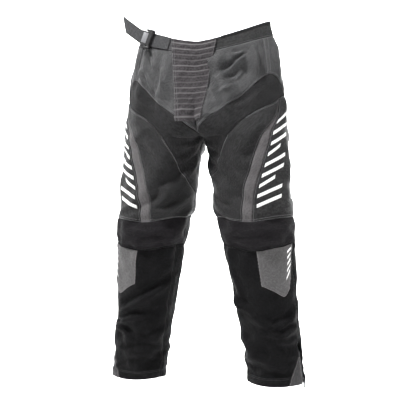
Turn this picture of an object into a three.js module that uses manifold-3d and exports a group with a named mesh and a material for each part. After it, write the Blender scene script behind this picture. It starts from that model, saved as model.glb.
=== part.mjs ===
// Sports over-trousers, modelled as the pattern pieces and hardware they are sewn from.
// Millimetres. +Z up, the wearer faces -Y, +X is the wearer's left. The origin is the centre of the waist
// opening, level with the top corners of the waistband. The legs hang straight down.
//
// The cloth lies on one smooth surface for each half of the garment. A point of it is (u, drop):
//   u     0 at the centre front and the inseam, 0.25 on the front, 0.5 at the outer side, 1 at the centre back
//   drop  how far below the waist corner the point is at the outer side, 0 to the hem's 1032
import * as THREE from "three";
import Module from "manifold-3d";
import { mergeVertices } from "three/addons/utils/BufferGeometryUtils.js";

// ---------- driving dimensions ----------
const CROTCH = 325; // drop of the crotch point
const HEM = 1032; // drop of the hem at the front of the leg
const HEM_LIFT = 9; // the hem's inner and outer corners are this much higher
const CLOTH = 2.2; // thickness of a sewn panel with its lining
const SEAM = 0.45; // half the gap between two sewn panels
const WAISTBAND = 42; // height of the waistband
const FRONT_DIP = 54; // how far the waist edge dips at the centre front
const BACK_DIP = 58;
const STRIPE = 30; // width of the side stripe
const ZIP_GAP_FLY = 9; // half the opening between the front panels at the fly
const ZIP_GAP_ANKLE = 6.5;
const OVERLAY = 0.8; // gap under a patch that is sewn on top of a panel
const PATCH = 1.2; // thickness of such a patch

const SEAT_WIDTH = 492; // across the seat at the crotch
const SEAT_DEPTH = 187; // front to back at the crotch

// The pattern below is drawn for these sizes, and is stretched to the ones above.
const PATTERN = { crotch: 325, hem: 1032, width: 492, depth: 187 };
// A drop of the pattern on this garment
function fitted(drop) {
  if (drop <= PATTERN.crotch) return (drop * CROTCH) / PATTERN.crotch;
  return CROTCH + ((drop - PATTERN.crotch) * (HEM - CROTCH)) / (PATTERN.hem - PATTERN.crotch);
}
const wide = (x) => (x * SEAT_WIDTH) / PATTERN.width;
const deep = (y) => (y * SEAT_DEPTH) / PATTERN.depth;

// Cross-sections of the seat: drop, half width, depth in front of the side seam, depth behind it.
const SEAT_LEVELS = [
  [0, 196, 46, 50],
  [50, 209, 56, 62],
  [100, 221, 67, 76],
  [160, 231, 77, 92],
  [220, 237, 84, 104],
  [275, 242, 87, 106],
  [325, 246, 87, 100],
].map(([drop, halfWidth, front, back]) => [fitted(drop), wide(halfWidth), deep(front), deep(back)]);
// Cross-sections of one leg: drop, centre x, half width, front depth, back depth, centre y.
const LEG_LEVELS = [
  [325, 123, 122.6, 87, 100, 0],
  [362, 130, 116, 85, 94, 0],
  [430, 138, 114, 83, 87, -2],
  [507, 146, 112, 80, 82, -5],
  [565, 156, 110, 78, 77, -8],
  [600, 161, 107, 77, 75, -9],
  [652, 167, 101, 72, 72, -6],
  [797, 184, 89, 62, 66, 3],
  [942, 202, 83, 54, 58, 8],
  [1032, 213, 83, 46, 48, 9],
].map(([drop, x, half, front, back, y]) => [fitted(drop), wide(x), wide(half), deep(front), deep(back), y]);

// ---------- small helpers ----------
const { PI, sin, cos, abs, min, max, sqrt } = Math;
const vec = (x, y, z) => new THREE.Vector3(x, y, z);
const lerp = (a, b, t) => a + (b - a) * t;
const clamp01 = (t) => min(1, max(0, t));
const smooth = (a, b, x) => {
  const t = clamp01((x - a) / (b - a));
  return t * t * (3 - 2 * t);
};

// A smooth curve through rows of numbers, by their first column.
function sample(rows, x) {
  let i = 0;
  while (i < rows.length - 2 && x > rows[i + 1][0]) i++;
  const a = rows[i];
  const b = rows[i + 1];
  const before = rows[max(0, i - 1)];
  const after = rows[min(rows.length - 1, i + 2)];
  const span = b[0] - a[0];
  const t = clamp01((x - a[0]) / span);
  return a.map((_, k) => {
    const m0 = ((b[k] - before[k]) / (b[0] - before[0])) * span;
    const m1 = ((after[k] - a[k]) / (after[0] - a[0])) * span;
    const t2 = t * t;
    const t3 = t2 * t;
    return (
      (2 * t3 - 3 * t2 + 1) * a[k] + (t3 - 2 * t2 + t) * m0 + (3 * t2 - 2 * t3) * b[k] + (t3 - t2) * m1
    );
  });
}
// A seam that runs across: its drop from its u, through [u, drop] points of the pattern.
function seamAcross(points) {
  const rows = points.map(([u, drop]) => [u, fitted(drop)]);
  return (u) => sample(rows, u)[1];
}
// A seam that runs down: its u from its drop, through [drop, u] points of the pattern.
function seamDown(points) {
  const rows = points.map(([drop, u]) => [fitted(drop), u]);
  return (drop) => sample(rows, drop)[1];
}

// ---------- the garment's surface ----------
const RIM_POWER = 1.35; // how v-shaped the waist edge is
const FLAT_WAIST = 0.72; // how far the waist edge is flattened: 1 is an ellipse
const LENS_TO = fitted(150); // drop at which the flattened waist has become an ellipse
const LEG_FROM = fitted(190); // drop at which the seat starts to divide into legs
const FRONT_TURN = 0.77; // share of the front rise that is upright
const BACK_TURN = 0.66;
const RISE_REACH = 0.3; // how far in u the rise curve shapes the cloth beside it

// z of the waist edge
function rim(u) {
  const dip = u < 0.5 ? FRONT_DIP : BACK_DIP;
  return -dip * (1 - abs(sin(PI * u)) ** RIM_POWER);
}

// Half of the seat's outline, from the centre front to the centre back.
function seatSection(u, drop) {
  const [, halfWidth, front, back] = sample(SEAT_LEVELS, drop);
  const flat = lerp(FLAT_WAIST, 1, smooth(0, LENS_TO, drop));
  const c = cos(PI * u);
  const depth = c > 0 ? -front : back;
  return [halfWidth * sin(PI * u), depth * (flat * abs(c) + (1 - flat) * c * c)];
}

// The outline of one leg. Above the crotch it is half as wide as the seat.
function legSection(u, drop) {
  const turn = 2 * PI * u;
  if (drop < CROTCH) {
    const [, halfWidth, front, back] = sample(SEAT_LEVELS, drop);
    const depth = sin(turn) > 0 ? front : back;
    return [(halfWidth / 2) * (1 - cos(turn)), -depth * sin(turn)];
  }
  const [, x, halfWidth, front, back, y] = sample(LEG_LEVELS, drop);
  const depth = sin(turn) > 0 ? front : back;
  return [x - halfWidth * cos(turn), y - depth * sin(turn)];
}

// The seat and the top of the leg, before the rise curves shape its inner edges.
function upperBody(u, v) {
  const z = lerp(rim(u), -CROTCH, v);
  const share = smooth(LEG_FROM, CROTCH, -z);
  const [sx, sy] = seatSection(u, -z);
  const [lx, ly] = legSection(u, -z);
  return vec(lerp(sx, lx, share), lerp(sy, ly, share), z);
}

// The centre line of the seat: upright, then a quarter turn down to the crotch point.
function rise(v, edge, turn) {
  const z1 = lerp(rim(edge), -CROTCH, min(v, turn));
  const [, y1] = seatSection(edge, -z1);
  if (v <= turn) return vec(0, y1, z1);
  const q = ((v - turn) / (1 - turn)) * (PI / 2);
  return vec(0, y1 * cos(q), lerp(z1, -CROTCH, sin(q)));
}

function halfSurface(u, drop) {
  if (drop >= CROTCH) {
    const [x, y] = legSection(u, drop);
    return vec(x, y, -drop);
  }
  const v = drop / CROTCH;
  const p = upperBody(u, v);
  const nearFront = 1 - smooth(0, RISE_REACH, u);
  const nearBack = 1 - smooth(0, RISE_REACH, 1 - u);
  if (nearFront > 0) p.addScaledVector(rise(v, 0, FRONT_TURN).sub(upperBody(0, v)), nearFront);
  if (nearBack > 0) p.addScaledVector(rise(v, 1, BACK_TURN).sub(upperBody(1, v)), nearBack);
  return p;
}

// The same, run on past the centre lines: above the crotch the other half mirrors this one.
function surface(u, drop) {
  if (drop >= CROTCH || (u >= 0 && u <= 1)) return halfSurface(u, drop);
  const p = halfSurface(u < 0 ? -u : 2 - u, drop);
  p.x = -p.x;
  return p;
}

const STEP_U = 0.004;
const STEP_DROP = 2;
function slopes(u, drop) {
  const low = max(0, drop - STEP_DROP);
  const high = min(HEM, drop + STEP_DROP);
  const du = surface(u + STEP_U, drop).sub(surface(u - STEP_U, drop)).divideScalar(2 * STEP_U);
  const dd = surface(u, high).sub(surface(u, low)).divideScalar(high - low);
  return { du, dd, normal: dd.clone().cross(du).normalize() };
}

// A point of one half of the garment, lifted off the surface. side is 1 for the wearer's left and -1 for the
// wearer's right.
function onCloth(side, u, drop, lift = 0) {
  const p = surface(u, drop).addScaledVector(slopes(u, drop).normal, lift);
  p.x *= side;
  return p;
}
// Across the centre front or the centre back: c is negative on the wearer's right.
const acrossFront = (c, drop, lift) => onCloth(c < 0 ? -1 : 1, abs(c), drop, lift);
const acrossBack = (c, drop, lift) => onCloth(c < 0 ? -1 : 1, 1 - abs(c), drop, lift);

// ---------- making closed solids ----------
// Makes every triangle of a list of corners face the other way.
function turnRound(corners) {
  for (let k = 0; k < corners.length; k += 3) {
    [corners[k + 1], corners[k + 2]] = [corners[k + 2], corners[k + 1]];
  }
}

// A slab over an (across x down) grid. point(i, j, face) gives its outer (face 0) and inner (face 1) points.
function slab(across, down, point, closed = false, flip = false) {
  const positions = [];
  const columns = closed ? across : across + 1;
  const index = (i, j, face) => ((i % columns) * (down + 1) + j) * 2 + face;
  for (let i = 0; i < columns; i++)
    for (let j = 0; j <= down; j++)
      for (let face = 0; face < 2; face++) positions.push(...point(i, j, face).toArray());
  const faces = [];
  const quad = (a, b, c, d) => faces.push(a, b, c, a, c, d);
  for (let i = 0; i < across; i++)
    for (let j = 0; j < down; j++) {
      quad(index(i, j, 0), index(i, j + 1, 0), index(i + 1, j + 1, 0), index(i + 1, j, 0));
      quad(index(i, j, 1), index(i + 1, j, 1), index(i + 1, j + 1, 1), index(i, j + 1, 1));
    }
  for (let i = 0; i < across; i++) {
    quad(index(i, 0, 0), index(i + 1, 0, 0), index(i + 1, 0, 1), index(i, 0, 1));
    quad(index(i, down, 1), index(i + 1, down, 1), index(i + 1, down, 0), index(i, down, 0));
  }
  if (!closed)
    for (let j = 0; j < down; j++) {
      quad(index(0, j, 0), index(0, j, 1), index(0, j + 1, 1), index(0, j + 1, 0));
      quad(index(across, j, 0), index(across, j + 1, 0), index(across, j + 1, 1), index(across, j, 1));
    }
  if (flip) turnRound(faces);
  const geometry = new THREE.BufferGeometry();
  geometry.setAttribute("position", new THREE.Float32BufferAttribute(positions, 3));
  geometry.setIndex(faces);
  return geometry;
}

// A cloth panel between two seams that run down (left, right: u by drop) and two that run across (top, bottom:
// drop by u). on places its points; lift and thickness set its outer and inner face. Its rows are evenly spaced,
// or at the given shares of the way down.
function panel(options) {
  const { left, right, top, bottom, across, side = 1, on, lift = 0, thickness = CLOTH, seam = SEAM } = options;
  const rows = options.rows ?? Array.from({ length: options.down + 1 }, (_, j) => j / options.down);
  const down = rows.length - 1;
  const place = on ?? ((u, drop, up) => onCloth(side, u, drop, up));
  const edge = (f, x) => (typeof f === "function" ? f(x) : f);
  const grid = [];
  for (let i = 0; i <= across; i++) {
    grid.push([]);
    for (let j = 0; j <= down; j++) {
      const s = i / across;
      const t = rows[j];
      let drop = lerp(edge(top, 0.3), edge(bottom, 0.3), t);
      let u = 0;
      for (let n = 0; n < 30; n++) {
        u = lerp(edge(left, drop), edge(right, drop), s);
        drop = lerp(edge(top, u), edge(bottom, u), t);
      }
      const { du, dd } = slopes(abs(u), drop);
      if (i === 0) u += seam / du.length();
      if (i === across) u -= seam / du.length();
      if (j === 0) drop += seam / dd.length();
      if (j === down) drop -= seam / dd.length();
      grid[i].push([u, drop]);
    }
  }
  const point = (i, j, face) => {
    const outer = typeof lift === "function" ? lift(...grid[i][j]) : lift;
    return place(...grid[i][j], face ? outer - thickness : outer);
  };
  return slab(across, down, point, false, side < 0);
}

const wasm = await Module();
wasm.setup();
function solid(geometry) {
  const bare = geometry.index ? geometry.toNonIndexed() : geometry.clone();
  bare.deleteAttribute("normal");
  bare.deleteAttribute("uv");
  const merged = mergeVertices(bare, 1e-4);
  return new wasm.Manifold(
    new wasm.Mesh({
      numProp: 3,
      vertProperties: new Float32Array(merged.attributes.position.array),
      triVerts: new Uint32Array(merged.index.array),
    }),
  );
}
function geometryOf(manifold) {
  const mesh = manifold.getMesh();
  const geometry = new THREE.BufferGeometry();
  geometry.setAttribute("position", new THREE.BufferAttribute(mesh.vertProperties, 3));
  geometry.setIndex(new THREE.BufferAttribute(mesh.triVerts, 1));
  return geometry;
}
const join = (...parts) => geometryOf(parts.map(solid).reduce((a, b) => a.add(b)));
const cut = (from, ...tools) => geometryOf(tools.map(solid).reduce((a, b) => a.subtract(b), solid(from)));

// A box from its low corner to its high corner.
function block(x0, y0, z0, x1, y1, z1) {
  const box = new THREE.BoxGeometry(x1 - x0, y1 - y0, z1 - z0);
  return box.translate((x0 + x1) / 2, (y0 + y1) / 2, (z0 + z1) / 2);
}
// A rod along x, centred.
const rod = (radius, length, sides = 12) =>
  new THREE.CylinderGeometry(radius, radius, length, sides).rotateZ(PI / 2);
function prism(points, depth, holes = []) {
  const shape = new THREE.Shape(points.map(([x, y]) => new THREE.Vector2(x, y)));
  for (const hole of holes) shape.holes.push(new THREE.Path(hole.map(([x, y]) => new THREE.Vector2(x, y))));
  return new THREE.ExtrudeGeometry(shape, { depth, bevelEnabled: false });
}

// ---------- finishes ----------
const finish = (r, g, b, roughness, metalness = 0) =>
  new THREE.MeshStandardMaterial({ color: new THREE.Color(r, g, b), roughness, metalness });
const nylon = finish(0.11, 0.11, 0.115, 0.55);
const stretch = finish(0.02, 0.02, 0.022, 0.9);
const ribbed = finish(0.07, 0.065, 0.07, 0.75);
const tough = finish(0.03, 0.03, 0.032, 0.7);
const grey = finish(0.17, 0.165, 0.165, 0.65);
const suede = finish(0.018, 0.018, 0.02, 0.95);
const webbing = finish(0.09, 0.09, 0.095, 0.8);
const blackPlastic = finish(0.012, 0.012, 0.013, 0.4);
const steel = finish(0.55, 0.55, 0.56, 0.3, 1);
const leverPaint = finish(0.35, 0.35, 0.36, 0.4, 0.3);

const trousers = new THREE.Group();
function add(name, geometry, material, parent = trousers) {
  const mesh = new THREE.Mesh(geometry, material);
  mesh.name = name;
  parent.add(mesh);
  return mesh;
}
const SIDES = [
  ["left", 1],
  ["right", -1],
];

// ---------- seam lines ----------
const SIDE_FRONT = 0.33; // the upright seam between the hip panel and the side panel
const SIDE_BACK = 0.61; // the seam between the side panel and the back panels
const CRESCENT_TIP = SIDE_BACK; // the stretch crescent runs round to the back of the side panel
const YOKE = [50, 74]; // depth of the back yoke at its ends and in the middle
const yokeEdge = (u) => WAISTBAND + lerp(...YOKE, clamp01((u - SIDE_BACK) / (1 - SIDE_BACK)));
// The leg hole line: down from the hip to the crotch in front, round under the seat behind.
const legHole = seamAcross([
  [0, 300],
  [0.07, 274],
  [0.13, 246],
  [0.182, 209],
  [0.242, 172],
  [0.3, 152],
  [0.345, 147],
  [0.4, 154],
  [0.46, 176],
  [0.53, 201],
  [CRESCENT_TIP, 228],
  [0.68, 262],
  [0.75, 290],
  [0.85, 314],
  [0.93, 323],
  [1, 325],
]);
// The top of the thigh panels, below the stretch crescent in front.
const thighTopFront = seamAcross([
  [0, 490],
  [0.05, 468],
  [0.105, 433],
  [0.17, 371],
  [0.226, 321],
  [0.25, 292],
  [0.28, 268],
  [0.33, 248],
  [0.4, 229],
  [0.46, 216],
  [0.53, 219],
  [CRESCENT_TIP, 235],
]);
// The crescent's rows: the second one meets the inseam at the crotch point.
const CRESCENT_ROWS = [0, (CROTCH - legHole(0)) / (thighTopFront(0) - legHole(0)), 0.36, 0.57, 0.78, 1];
const BACK_SEAM_GAP = 1; // room for the thigh to turn under the seat
const thighTopBack = (u) => legHole(u) + BACK_SEAM_GAP;
const kneeTop = seamAcross([
  [0, 556],
  [0.12, 560],
  [0.25, 572],
  [0.38, 562],
  [0.5, 556],
  [0.62, 543],
  [0.75, 524],
  [0.88, 543],
  [1, 556],
]);
const kneeBottom = seamAcross([
  [0, 630],
  [0.12, 640],
  [0.25, 652],
  [0.38, 640],
  [0.5, 628],
  [0.62, 652],
  [0.75, 676],
  [0.88, 652],
  [1, 630],
]);
const hemEdge = (u) => HEM - HEM_LIFT * cos(2 * PI * u) ** 2;
const around = (f) => (u) => f(u - Math.floor(u));

// The side stripe: its middle, and its width in u. It starts as a point and is full width above mid thigh.
const stripeMiddle = seamDown([
  [200, 0.425],
  [265, 0.42],
  [320, 0.372],
  [386, 0.329],
  [480, 0.276],
  [570, 0.245],
]);
const STRIPE_FROM = fitted(222); // it starts as a point at the top of the thigh
const STRIPE_FULL = fitted(410);
function stripeHalf(drop) {
  const width = STRIPE * (0.06 + 0.94 * smooth(STRIPE_FROM + 20, STRIPE_FULL, drop));
  return width / 2 / slopes(stripeMiddle(drop), drop).du.length();
}
const stripeInner = (drop) => stripeMiddle(drop) - stripeHalf(drop);
const stripeOuter = (drop) => stripeMiddle(drop) + stripeHalf(drop);

// ---------- waist, hips and seat ----------
const FLY_END = fitted(262); // drop at which the front panels close below the fly
// The front edge of a front panel: clear of the zip, then on the centre line.
function centreFront(drop) {
  const gap = ZIP_GAP_FLY * (1 - smooth(FLY_END - 8, FLY_END + 8, drop));
  return gap / slopes(0, drop).du.length();
}
for (const [name, side] of SIDES) {
  add(
    "waistband_front_" + name,
    panel({ side, left: centreFront, right: 0.5, top: 0, bottom: WAISTBAND, across: 9, down: 1 }),
    webbing,
  );
  add(
    "hip_panel_" + name,
    panel({ side, left: centreFront, right: SIDE_FRONT, top: WAISTBAND, bottom: legHole, across: 10, down: 8 }),
    nylon,
  );
  add(
    "hip_side_" + name,
    panel({ side, left: SIDE_FRONT, right: SIDE_BACK, top: WAISTBAND, bottom: legHole, across: 9, down: 8 }),
    nylon,
  );
  add(
    "seat_panel_" + name,
    panel({ side, left: SIDE_BACK, right: 1, top: yokeEdge, bottom: legHole, across: 11, down: 9 }),
    tough,
  );
  add(
    "groin_stretch_" + name,
    panel({
      side,
      left: 0,
      right: CRESCENT_TIP,
      top: legHole,
      bottom: thighTopFront,
      across: 22,
      rows: CRESCENT_ROWS,
      seam: 0.8,
    }),
    stretch,
  );
}
add(
  "waistband_back",
  panel({ on: acrossBack, left: -0.5, right: 0.5, top: 0, bottom: WAISTBAND, across: 18, down: 1, side: -1 }),
  webbing,
);
add(
  "back_yoke",
  panel({
    on: acrossBack,
    left: SIDE_BACK - 1,
    right: 1 - SIDE_BACK,
    top: WAISTBAND,
    bottom: (c) => yokeEdge(1 - abs(c)),
    across: 14,
    down: 2,
    side: -1,
  }),
  ribbed,
);
// The elastic that runs inside the back of the waistband.
const ELASTIC_REACH = 0.38;
add(
  "waist_elastic",
  panel({
    on: acrossBack,
    left: -ELASTIC_REACH,
    right: ELASTIC_REACH,
    top: 5,
    bottom: WAISTBAND - 5,
    across: 14,
    down: 1,
    side: -1,
    lift: -CLOTH - OVERLAY,
    thickness: 1.2,
  }),
  stretch,
);

// ---------- thighs, knees and shins ----------
const INNER_FRONT = 0.07; // the inner calf panel's front seam
const INNER_BACK = 0.87; // and its back seam
const ANKLE_ZIP = 0.478; // where the ankle zip is
const ANKLE_ZIP_FROM = HEM - 102;
const zipGapU = (drop) =>
  (smooth(ANKLE_ZIP_FROM - 32, ANKLE_ZIP_FROM - 12, drop) * ZIP_GAP_ANKLE) /
  slopes(ANKLE_ZIP, drop).du.length();
const INSERT_FROM = HEM - 84;
const insertInner = seamDown([
  [600, ANKLE_ZIP],
  [925, ANKLE_ZIP],
  [940, 0.455],
  [965, 0.42],
  [1000, 0.37],
  [PATTERN.hem, 0.34],
]);
const patchBottom = seamAcross([
  [0.2, 742],
  [0.27, 750],
  [0.33, 772],
  [0.385, 792],
  [0.42, 768],
  [0.46, 740],
]);
const patchOuter = seamDown([
  [620, 0.458],
  [680, 0.452],
  [740, 0.43],
  [800, 0.4],
]);
for (const [name, side] of SIDES) {
  add(
    "thigh_front_" + name,
    panel({ side, left: 0, right: stripeInner, top: thighTopFront, bottom: kneeTop, across: 12, down: 16 }),
    tough,
  );
  add(
    "thigh_stripe_" + name,
    panel({
      side,
      left: stripeInner,
      right: stripeOuter,
      top: thighTopFront,
      bottom: kneeTop,
      across: 1,
      down: 16,
      seam: 0.6,
    }),
    grey,
  );
  add(
    "thigh_side_" + name,
    panel({
      side,
      left: stripeOuter,
      right: SIDE_BACK,
      top: thighTopFront,
      bottom: kneeTop,
      across: 7,
      down: 16,
    }),
    tough,
  );
  add(
    "thigh_back_" + name,
    panel({ side, left: SIDE_BACK, right: 1, top: thighTopBack, bottom: kneeTop, across: 10, down: 16 }),
    tough,
  );
  const kneePoint = (i, j, face) => {
    const u = i / 32;
    const top = kneeTop(u) + 0.9;
    const bottom = kneeBottom(u) - 0.9;
    return onCloth(side, u, lerp(top, bottom, j / 3), face ? -CLOTH : 0);
  };
  add("knee_stretch_" + name, slab(32, 3, kneePoint, true, side < 0), stretch);
  add(
    "shin_front_" + name,
    panel({
      side,
      left: INNER_FRONT,
      right: (drop) => min(insertInner(drop), ANKLE_ZIP - zipGapU(drop)),
      top: kneeBottom,
      bottom: hemEdge,
      across: 11,
      down: 12,
    }),
    stretch,
  );
  add(
    "shin_patch_" + name,
    panel({
      side,
      left: 0.268,
      right: patchOuter,
      top: (u) => kneeBottom(u) + 1.5,
      bottom: patchBottom,
      across: 6,
      down: 4,
      lift: OVERLAY + PATCH,
      thickness: PATCH,
    }),
    grey,
  );
  add(
    "ankle_insert_" + name,
    panel({
      side,
      left: insertInner,
      right: (drop) => ANKLE_ZIP - zipGapU(drop),
      top: INSERT_FROM,
      bottom: hemEdge,
      across: 4,
      down: 8,
    }),
    grey,
  );
  add(
    "calf_back_" + name,
    panel({
      side,
      left: (drop) => ANKLE_ZIP + zipGapU(drop),
      right: INNER_BACK,
      top: kneeBottom,
      bottom: hemEdge,
      across: 11,
      down: 12,
    }),
    stretch,
  );
  add(
    "calf_inner_" + name,
    panel({
      side,
      left: INNER_BACK - 1,
      right: INNER_FRONT,
      top: around(kneeBottom),
      bottom: hemEdge,
      across: 6,
      down: 12,
    }),
    suede,
  );
  add(
    "hem_facing_" + name,
    panel({
      side,
      left: ANKLE_ZIP + 0.075 - 1,
      right: ANKLE_ZIP - 0.075,
      top: (u) => hemEdge(u) - 27,
      bottom: (u) => hemEdge(u) - 1,
      across: 24,
      down: 1,
      lift: -CLOTH - OVERLAY,
      thickness: 1.2,
    }),
    webbing,
  );
}

// ---------- zips ----------
// A zip lies in its own frame: x across it, y up along it, z out of the cloth, with its middle plane at z 0.
const TAPE = 13; // width of one tape of the fly's zip
const ANKLE_TAPE = 10;
const TAPE_THICK = 0.7;
const TOOTH = [2.2, 2.4]; // width and thickness of one side's row of teeth
const TEETH_GAP = 0.8; // half the gap between the two rows, where the slider's web runs
const SLIDER = { width: 9, length: 11, plate: 1.2, room: 0.35, web: 1.1 };
const BRIDGE = { width: 1.4, thick: 0.9, height: 1.9 };
const PULL = { width: 7, length: 24, thick: 1.1, slot: 5.4, slotWidth: 2.6 };

// One half: its row of teeth, and a tape that is flat at the teeth and then falls away with the cloth's curve.
function zipHalf(length, side, width, bend) {
  const [toothWidth, toothThick] = TOOTH;
  const inner = TEETH_GAP;
  const steps = 4;
  const under = (x) => -bend * max(0, x - inner) ** 2;
  const tapePoint = (i, j, face) => {
    const x = inner + toothWidth - 0.5 + (i / steps) * (width - toothWidth);
    return vec(x, j * length, under(x) + (face ? -TAPE_THICK / 2 : TAPE_THICK / 2));
  };
  const tape = slab(steps, 1, tapePoint, false, true);
  const teeth = block(inner, 0, -toothThick / 2, inner + toothWidth, length, toothThick / 2);
  const half = join(tape, teeth);
  return side > 0 ? half : mirrored(half);
}
// The same solid with x reversed and its faces turned back out.
function mirrored(geometry) {
  const other = geometry.clone().scale(-1, 1, 1);
  turnRound(other.index.array);
  return other;
}
const plateTop = TOOTH[1] / 2 + SLIDER.room + SLIDER.plate; // z of the slider's front face
function sliderBody() {
  const { width, length, plate, room, web } = SLIDER;
  const low = TOOTH[1] / 2 + room;
  const front = block(-width / 2, 0, low, width / 2, length, low + plate);
  const rear = block(-width / 2, 0, -low - plate, width / 2, length, -low);
  const middle = block(-web / 2, 0.5, -low - 0.5, web / 2, length - 0.5, low + 0.5);
  const half = BRIDGE.width / 2;
  const bridgeTop = plateTop + BRIDGE.height + BRIDGE.thick;
  const bridge = block(-half, 1, plateTop - 0.3, half, length - 1, bridgeTop);
  const under = block(-BRIDGE.width, 2.2, plateTop, BRIDGE.width, length - 2.2, plateTop + BRIDGE.height);
  return join(front, rear, middle, cut(bridge, under));
}
// The pull hangs from its own cross bar, which is centred in the slider's bridge.
function pullTab() {
  const { width, length, thick, slot, slotWidth } = PULL;
  const w = width / 2;
  const outline = [
    [-w * 0.7, thick / 2],
    [-w * 0.7, -slot],
    [-w, -slot - 3],
    [-w, -length + 2],
    [-w + 2, -length],
    [w - 2, -length],
    [w, -length + 2],
    [w, -slot - 3],
    [w * 0.7, -slot],
    [w * 0.7, thick / 2],
  ];
  const hole = [
    [-slotWidth / 2, -thick / 2],
    [slotWidth / 2, -thick / 2],
    [slotWidth / 2, -slot - 0.8],
    [-slotWidth / 2, -slot - 0.8],
  ];
  return prism(outline, thick, [hole]).translate(0, 0, -thick / 2);
}
const PULL_AT = [0, SLIDER.length / 2, plateTop + BRIDGE.height / 2];

// A group whose x, y and z run along the given directions.
function frameAt(origin, x, y, z) {
  const group = new THREE.Group();
  group.matrixAutoUpdate = false;
  group.matrix.makeBasis(x, y, z).setPosition(origin);
  trousers.add(group);
  return group;
}
function zipFrame(bottomPoint, topPoint, outward) {
  const y = topPoint.clone().sub(bottomPoint).normalize();
  const x = y.clone().cross(outward).normalize();
  const z = x.clone().cross(y).normalize();
  return frameAt(bottomPoint, x, y, z);
}
// From the cloth's outer face to the middle plane of the fly's zip and of the ankle zips
const FLY_DEPTH = CLOTH + 2.6;
const ANKLE_DEPTH = CLOTH + 1.7;
const ANKLE_BEND = 0.035; // how fast the ankle tapes fall away from flat

// The fly's zip, under the cover.
const FLY_ZIP = [58, fitted(240)]; // drops of its ends
const SLIDER_END = 3; // the closed slider stops this far from the zip's end
{
  const [top, bottom] = FLY_ZIP.map((drop) => onCloth(1, 0, drop, -FLY_DEPTH));
  const zip = zipFrame(bottom, top, vec(0, -1, 0));
  const length = top.distanceTo(bottom);
  add("fly_zip_left", zipHalf(length, 1, TAPE, 0), stretch, zip);
  add("fly_zip_right", zipHalf(length, -1, TAPE, 0), stretch, zip);
  add("fly_zip_stop", block(-3.4, -2.6, -1.6, 3.4, -0.3, 1.6), steel, zip);
  const slider = new THREE.Group();
  slider.position.y = length - SLIDER.length - SLIDER_END;
  zip.add(slider);
  add("fly_zip_slider", sliderBody(), steel, slider);
  add("fly_zip_pull", pullTab().translate(...PULL_AT), steel, slider);
}
// The ankle zips close downwards.
for (const [name, side] of SIDES) {
  const drops = [ANKLE_ZIP_FROM + 4, HEM - HEM_LIFT - 3];
  const [top, bottom] = drops.map((drop) => onCloth(side, ANKLE_ZIP, drop, -ANKLE_DEPTH));
  const outward = slopes(ANKLE_ZIP, (drops[0] + drops[1]) / 2).normal;
  outward.x *= side;
  const zip = zipFrame(bottom, top, outward);
  const length = top.distanceTo(bottom);
  add("ankle_zip_front_" + name, zipHalf(length, side > 0 ? -1 : 1, ANKLE_TAPE, ANKLE_BEND), stretch, zip);
  add("ankle_zip_back_" + name, zipHalf(length, side > 0 ? 1 : -1, ANKLE_TAPE, ANKLE_BEND), stretch, zip);
  const slider = new THREE.Group();
  slider.position.y = SLIDER_END;
  zip.add(slider);
  add("ankle_slider_" + name, sliderBody(), steel, slider);
  add("ankle_pull_" + name, pullTab().translate(...PULL_AT), steel, slider);
}

// ---------- fly cover ----------
const COVER = { gap: 2.2, edgeGap: 0.8, thickness: 2, bottom: fitted(256) };
// The cover's straight edges, as x at the waist and x at its lower end
const COVER_RIGHT = [-85, -56].map(wide);
const COVER_LEFT = [57, 27].map(wide);
// u of the point at this x and drop, on the front
function uAt(x, drop) {
  let low = 0;
  let high = 0.4;
  for (let n = 0; n < 30; n++) {
    const middle = (low + high) / 2;
    if (surface(middle, drop).x < abs(x)) low = middle;
    else high = middle;
  }
  return Math.sign(x) * low;
}
const coverRight = (drop) => uAt(lerp(...COVER_RIGHT, drop / COVER.bottom), drop);
const coverLeft = (drop) => uAt(lerp(...COVER_LEFT, drop / COVER.bottom), drop);
// It is sewn down along its right edge and stands clear of the zip.
const coverLift = (c, drop) =>
  COVER.thickness + lerp(COVER.edgeGap, COVER.gap, smooth(0, 0.03, c - coverRight(drop)));
add(
  "fly_cover",
  panel({
    on: acrossFront,
    left: coverRight,
    right: coverLeft,
    top: 1,
    bottom: COVER.bottom,
    across: 6,
    down: 10,
    lift: coverLift,
    thickness: COVER.thickness,
  }),
  ribbed,
);
// The snap that holds the cover to the waistband.
const SNAP = { radius: 5, height: 0.6, u: 0.055, drop: 20 };
function snapHalf(lift) {
  const { normal } = slopes(SNAP.u, SNAP.drop);
  const turn = new THREE.Quaternion().setFromUnitVectors(vec(0, 1, 0), normal);
  const at = onCloth(1, SNAP.u, SNAP.drop, lift + SNAP.height / 2);
  const disc = new THREE.CylinderGeometry(SNAP.radius, SNAP.radius, SNAP.height, 20);
  return disc.applyQuaternion(turn).translate(...at);
}
add("snap_stud", snapHalf(0.2), steel);
add("snap_socket", snapHalf(COVER.gap - SNAP.height - 0.12), steel);

// ---------- belt and buckle ----------
// The belt is straight. It touches the waistband at one point and runs through the buckle, so it can slide.
const BELT = { width: 38, thickness: 1.8, lift: 1.6, back: 21, ahead: 178, slant: 12 };
const BELT_CLEAR = 4; // room between the end of the belt and the fly cover
const BELT_TOUCH = { u: uAt(BELT.back + BELT_CLEAR - COVER_RIGHT[0], 21), drop: 21 };
const BUCKLE_AT = 53; // from the touching point to the middle of the buckle

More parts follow.
